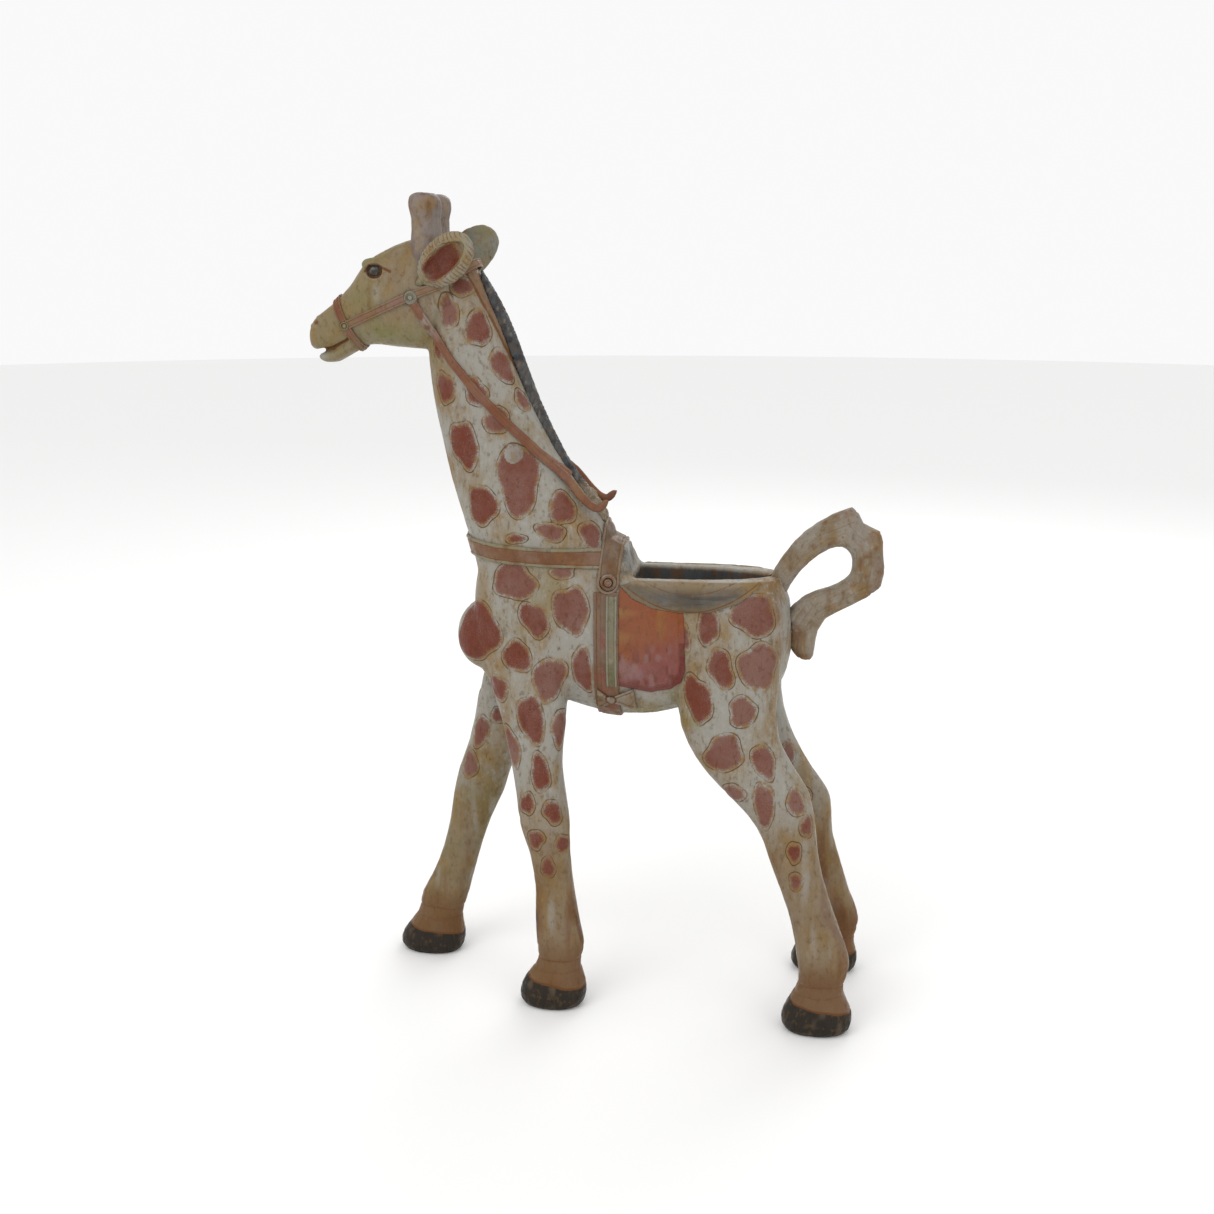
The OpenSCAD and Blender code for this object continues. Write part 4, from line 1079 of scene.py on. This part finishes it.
def halter_detail(part):
    place = part.place
    nose = beside(place, NOSEBAND)[0]
    cheek = beside(place, CHEEK)[0]
    distance = np.minimum(nose, cheek)
    part.coat("halter", 0.2)
    part.tint("halter_red", 0.75 * steps(6, 2, nose) * steps(835, 845, place[:, 2]))
    part.blotch("halter_pink", 0.6, 0.0, 0.6, 14, 91)
    height = part.cut(distance - 2.6, 0.6, 0.5, 1.0, 0.9)
    height += 0.35 * bell(distance - 4.0, 0.9)
    part.tint("olive", 0.5 * steps(812, 800, place[:, 2]))
    return height + 0.12 * rough(place, 6, 92)


def rein_detail(part):
    place = part.place
    distance, _, along = beside(place, REIN)
    part.coat("rein", 0.12)
    part.blotch("rein_worn", 0.75, 0.0, 0.35, 7, 93, steps(70, 30, along))
    part.blotch("rein_orange", 0.7, -0.2, 0.5, 16, 94, steps(60, 140, along))
    height = part.cut(distance - 2.4, 0.6, 0.45, along < 260, 0.8)
    return height + 0.15 * rough(place, 6, 95)


def disc_detail(centre, ring, colour):
    """Concentric turned rings on a round boss."""
    def detail(part):
        radius = np.hypot(part.place[:, 0] - centre[0], part.place[:, 2] - centre[1])
        part.coat(colour, 0.5)
        height = np.zeros(len(radius))
        for r in ring:
            height += part.cut(radius - r, 0.55, 0.6, 1.0, 1.0)
        return height
    return detail


def bow_detail(part):
    """Folds of the knot under the belly."""
    place = part.place
    part.coat("bow", 0.6)
    part.tint("bow_pale", steps(0, 0.6, noise(place, 8, 101)))
    knot = np.hypot(place[:, 0] - 27, place[:, 2] - 399)
    height = part.cut(knot - 6, 1.2, 1.2, 1.0, 1.3) + 1.0 * bell(knot, 4)
    for tip in ((54, 412), (54, 390), (13, 412), (13, 388)):
        height += part.groove([(27, 399), tip], 1.2, 1.0, knot > 6, 0.8)
    return height + 0.4 * rough(place, 6, 102)


def girth_detail(part):
    place = part.place
    x, _, z = place.T
    part.coat("girth", 0.2)
    part.blotch("girth_red", 0.85, 0.0, 0.4, (6, 6, 30), 111, steps(500, 470, z))
    part.tint("stain", 0.6 * steps(430, 405, z))
    height = part.cut(x - 11.5, 0.9, 0.7, 1.0, 1.0) + part.cut(x - 16.5, 0.8, 0.5, 1.0, 0.8)
    return height + 0.2 * rough(place, 10, 112)


def strip_detail(part):
    place = part.place
    off = np.abs(place[:, 0] - 29)
    part.coat("celadon", 0.35)
    part.tint("strip_edge", steps(3.4, 4.6, off))
    part.tint("strip_moss", 0.8 * steps(500, 460, place[:, 2]) * steps(4, 2.5, off))
    height = part.cut(off - 3.6, 0.6, 0.5, 1.0, 0.9) + 0.5 * bell(off - 5.0, 0.9)
    return height + 0.1 * rough(place, 8, 113)


def cloth_detail(part):
    """Rubbed orange above, pink below, with a scalloped dark red hem."""
    place = part.place
    x, _, z = place.T
    part.coat("vermilion", 0.10)
    part.tint("magenta", 0.95 * steps(-12, 34, 0.55 * (x - 70) - (z - 470)))
    top = steps(440, 490, z) * steps(100, 70, x)
    part.blotch("cloth_gold", 0.85, -0.1, 0.5, 15, 121, top)
    part.blotch("cloth_red", 0.8, 0.0, 0.5, (5, 5, 12), 122, steps(490, 440, z))
    part.blotch("cloth_pink", 0.7, 0.1, 0.6, (7, 7, 12), 123, steps(480, 455, z))
    hem = beside(place, [(38, 419), (75, 414), (98, 419), (109, 428), (114, 443), (112, 515)])[0]
    part.tint("hem", 0.8 * steps(6, 3, hem) * (z < 475))
    height = part.cut(hem - 5, 0.8, 0.5, 1.0, 0.7)
    weave = 0.10 * np.sin(x * 2.1 + 0.5 * z) + 0.10 * np.sin(z * 1.7 - 0.6 * x)
    return height + weave + 0.35 * rough(place, (7, 7, 18), 124)


def lip_detail(part):
    """A crescent with a cream edge, a blue-grey streak and a brown line below."""
    place = part.place
    x, _, z = place.T
    part.coat("lip", 0.15)
    sag = 546 - 36 * np.clip(1 - ((x - 118) / 84) ** 2, 0, 1)
    share = (z - sag) / np.maximum(546 - sag, 4)
    part.tint("lip_edge", steps(0.62, 0.88, share))
    streaks = 0.6 + 0.4 * noise(place, (26, 26, 4), 132)
    part.tint("slate", 0.95 * bell(share - 0.42, 0.30) * steps(1.15, 0.4, np.abs(x - 118) / 84) * streaks)
    part.blotch("lip_black", 0.6, 0.3, 0.7, (22, 22, 3), 133, bell(share - 0.4, 0.3))
    part.tint("ochre", 0.7 * steps(172, 190, x))
    height = part.cut(z - sag - 2.2, 1.1, 0.6, 1.0, 1.0) + part.cut(z - sag - 22, 1.1, 0.5, 1.0, 0.8)
    height += part.cut(z - sag - 12 - 3 * noise(place, 30, 134), 1.2, 0.5, share < 0.8, 0.6)
    return height + 0.3 * rough(place, (14, 14, 7), 131)


def dowel_wood():
    r = Recipe("dowel_beech")
    grain = r.noise(1.6, (8, 8, 1), detail=4.0)
    pore = r.noise(0.7, (1, 1, 6), detail=2.0, seed=3.0)
    shade = r.blend(r.rise(grain, 0.3, 0.7), "beech", "beech_light")
    shade = r.blend(r.rise(pore, 0.62, 0.75, 0.5), shade, "pore")
    r.finish(shade, r.rise(grain, 0.2, 0.9, 0.7), grain, 0.2, 0.3)
    return r.material


# Operators

def sides(stem):
    return [f"{stem}_left", f"{stem}_right"]


class CarveFigure(bpy.types.Operator):
    """Carves head, neck, trunk and legs as one surface and parts it at the glue joints"""
    bl_idname = "giraffe.carve_figure"
    bl_label = "Carve Figure"

    def execute(self, context):
        carve_figure()
        return {"FINISHED"}


class CarveEars(bpy.types.Operator):
    """Carves the two ears with their scalloped rims"""
    bl_idname = "giraffe.carve_ears"
    bl_label = "Carve Ears"

    def execute(self, context):
        for node in sides("ear"):
            carved_part(f"carved_{node}", node, 0.9, 8, 0.2, ear_detail, "spotted_paint")
        return {"FINISHED"}


class CarveHorns(bpy.types.Operator):
    """Carves the two knobbed horns"""
    bl_idname = "giraffe.carve_horns"
    bl_label = "Carve Horns"

    def execute(self, context):
        for node in sides("horn"):
            carved_part(f"carved_{node}", node, 0.9, 8, 0.2, horn_detail, "horn_wash")
        return {"FINISHED"}


class PaintEyes(bpy.types.Operator):
    """Paints the two eyeballs"""
    bl_idname = "giraffe.paint_eyes"
    bl_label = "Paint Eyes"

    def execute(self, context):
        carved_part("painted_eyes", "eyes", 0.7, 4, 0.0, eye_detail, "eye_paint")
        shader = paint_of("eye_paint").node_tree.nodes["Principled BSDF"]
        shader.inputs["Coat Weight"].default_value = 0.5
        shader.inputs["Coat Roughness"].default_value = 0.25
        return {"FINISHED"}


class CarveMane(bpy.types.Operator):
    """Carves the upright mane"""
    bl_idname = "giraffe.carve_mane"
    bl_label = "Carve Mane"

    def execute(self, context):
        carved_part("carved_mane", "mane", 0.9, 6, 0.5, mane_detail, "mane_paint")
        return {"FINISHED"}


class CarveTail(bpy.types.Operator):
    """Carves the tail ring"""
    bl_idname = "giraffe.carve_tail"
    bl_label = "Carve Tail"

    def execute(self, context):
        carved_part("carved_tail", "tail", 1.0, 5, 0.3, tail_detail, "tail_wash")
        return {"FINISHED"}


class CarveHalter(bpy.types.Operator):
    """Carves the noseband and cheek straps with their rings and rosettes"""
    bl_idname = "giraffe.carve_halter"
    bl_label = "Carve Halter"

    def execute(self, context):
        ring = disc_detail(NOSEBAND[1], (3.2,), "ring")
        rosette = disc_detail((-207, 867), (3.0, 5.6), "rosette")
        carved_part("carved_halter", "halter", 0.7, 5, 0.6, halter_detail, "strap_paint")
        carved_part("turned_halter_rings", "halter_rings", 0.5, 3, 0.3, ring, "green_paint")
        carved_part("turned_halter_rosettes", "halter_rosettes", 0.5, 3, 0.3, rosette, "green_paint")
        return {"FINISHED"}


class CarveReins(bpy.types.Operator):
    """Carves the two reins with their curled ends"""
    bl_idname = "giraffe.carve_reins"
    bl_label = "Carve Reins"

    def execute(self, context):
        for node in sides("rein"):
            carved_part(f"carved_{node}", node, 0.7, 5, 0.6, rein_detail, "rein_paint")
        return {"FINISHED"}


class CarveHarness(bpy.types.Operator):
    """Carves the breast strap, the withers strap and the shoulder bosses"""
    bl_idname = "giraffe.carve_harness"
    bl_label = "Carve Harness"

    def execute(self, context):
        breast = strap_detail(BREAST, 22, "strap", "piping")
        withers = strap_detail(WITHERS, 26, "withers", "withers_piping")
        boss = disc_detail(WITHERS[1], (2.6, 5.2, 8.0), "boss")
        carved_part("carved_breast_strap", "breast_strap", 0.9, 5, 0.5, breast, "strap_paint")
        carved_part("carved_withers_strap", "withers_strap", 0.8, 5, 0.5, withers, "strap_paint")
        carved_part("turned_strap_bosses", "strap_bosses", 0.6, 3, 0.3, boss, "boss_paint")
        return {"FINISHED"}


class CarveGirth(bpy.types.Operator):
    """Carves the girth, its green strips and the bows below"""
    bl_idname = "giraffe.carve_girth"
    bl_label = "Carve Girth"

    def execute(self, context):
        carved_part("carved_girth_strap", "girth_strap", 0.9, 5, 0.4, girth_detail, "strap_paint")
        for node in sides("girth_overlay"):
            carved_part(f"carved_{node}", node, 0.6, 4, 0.4, strip_detail, "green_paint")
        carved_part("carved_girth_bows", "girth_bows", 0.8, 6, 0.5, bow_detail, "boss_paint")
        return {"FINISHED"}


class CarveSaddle(bpy.types.Operator):
    """Carves the saddle cloths and the lips below the trough rim"""
    bl_idname = "giraffe.carve_saddle"
    bl_label = "Carve Saddle"

    def execute(self, context):
        for node in sides("saddle_cloth"):
            carved_part(f"painted_{node}", node, 0.8, 4, 0.4, cloth_detail, "cloth_paint")
        for node in sides("rim_lip"):
            carved_part(f"carved_{node}", node, 0.8, 5, 0.5, lip_detail, "lip_paint")
        return {"FINISHED"}


class FinishDowels(bpy.types.Operator):
    """Gives the hidden dowels their beech wood"""
    bl_idname = "giraffe.finish_dowels"
    bl_label = "Finish Dowels"

    def execute(self, context):
        wood = dowel_wood()
        for name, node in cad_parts.items():
            if "dowel" in name:
                node.data.materials.clear()
                node.data.materials.append(wood)
        return {"FINISHED"}


# Name, place, size and power of each lamp
LAMPS = [
    ("key_light", (-1.4, -1.9, 2.9), 2.0, 26),
    ("fill_light", (2.4, -1.8, 1.6), 2.4, 8),
    ("back_light", (0.6, 2.6, 2.6), 2.2, 24),
]


def pointed(made, place):
    """Stands a camera or lamp at a place and turns it to the aim of the stage."""
    way = Vector(bpy.context.scene.giraffe_stage.aim) - Vector(place)
    made.location = place
    made.rotation_euler = way.to_track_quat("-Z", "Y").to_euler()


def make_camera():
    stage = bpy.context.scene.giraffe_stage
    camera = placed("camera", bpy.data.cameras.new("camera"))
    camera.data.lens = stage.lens
    pointed(camera, stage.eye_point)
    bpy.context.scene.camera = camera


def make_floor():
    mesh = bpy.data.meshes.new("floor")
    disc = bmesh.new()
    radius = bpy.context.scene.giraffe_stage.floor_size / 2
    bmesh.ops.create_circle(disc, cap_ends=True, segments=96, radius=radius)
    disc.to_mesh(mesh)
    disc.free()
    plain = Recipe("pale_floor")
    plain.set(plain.shader.inputs["Base Color"], (0.91, 0.91, 0.905))
    plain.set(plain.shader.inputs["Roughness"], 0.95)
    mesh.materials.append(plain.material)
    placed("floor", mesh)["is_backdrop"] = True


def make_light():
    for name, place, size, power in LAMPS:
        lamp = bpy.data.lights.new(name, "AREA")
        lamp.shape = "DISK"
        lamp.size = size
        lamp.energy = power
        pointed(placed(name, lamp), place)
    world = bpy.data.worlds.new("studio")
    world.use_nodes = True
    sky = world.node_tree.nodes["Background"]
    sky.inputs["Color"].default_value = (1.0, 1.0, 1.0, 1)
    sky.inputs["Strength"].default_value = 0.95
    bpy.context.scene.world = world


class BuildStage(bpy.types.Operator):
    """Sets up the camera, the pale floor and soft light"""
    bl_idname = "giraffe.build_stage"
    bl_label = "Build Stage"

    def execute(self, context):
        make_camera()
        make_floor()
        make_light()
        context.scene.view_settings.view_transform = "Standard"
        return {"FINISHED"}


STEPS = (
    BuildStage, CarveFigure, CarveEars, CarveHorns, PaintEyes, CarveMane, CarveTail, CarveHalter,
    CarveReins, CarveHarness, CarveGirth, CarveSaddle, FinishDowels,
)


class GiraffePanel(bpy.types.Panel):
    """Lists the building steps of the giraffe"""
    bl_idname = "VIEW3D_PT_giraffe"
    bl_label = "Carved Giraffe"
    bl_space_type = "VIEW_3D"
    bl_region_type = "UI"
    bl_category = "Giraffe"

    def draw(self, context):
        for step in STEPS:
            self.layout.operator(step.bl_idname)
        for group in ("giraffe_carving", "giraffe_paint", "giraffe_stage"):
            values = getattr(context.scene, group)
            for name in values.__annotations__:
                self.layout.prop(values, name)


GROUPS = {"giraffe_carving": GiraffeCarving, "giraffe_paint": GiraffePaint, "giraffe_stage": GiraffeStage}


def register():
    for kind in (*GROUPS.values(), *STEPS, GiraffePanel):
        bpy.utils.register_class(kind)
    for name, group in GROUPS.items():
        setattr(bpy.types.Scene, name, bpy.props.PointerProperty(type=group))


def unregister():
    for name in GROUPS:
        delattr(bpy.types.Scene, name)
    for kind in reversed((*GROUPS.values(), *STEPS, GiraffePanel)):
        bpy.utils.unregister_class(kind)


def main():
    register()
    for step in STEPS:
        area, name = step.bl_idname.split(".")
        getattr(getattr(bpy.ops, area), name)()
    boxes = {"cad": CAD_BOX, "visual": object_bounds()}
    boxes = {name: [list(corner) for corner in box] for name, box in boxes.items()}


if __name__ == "__main__":
    main()
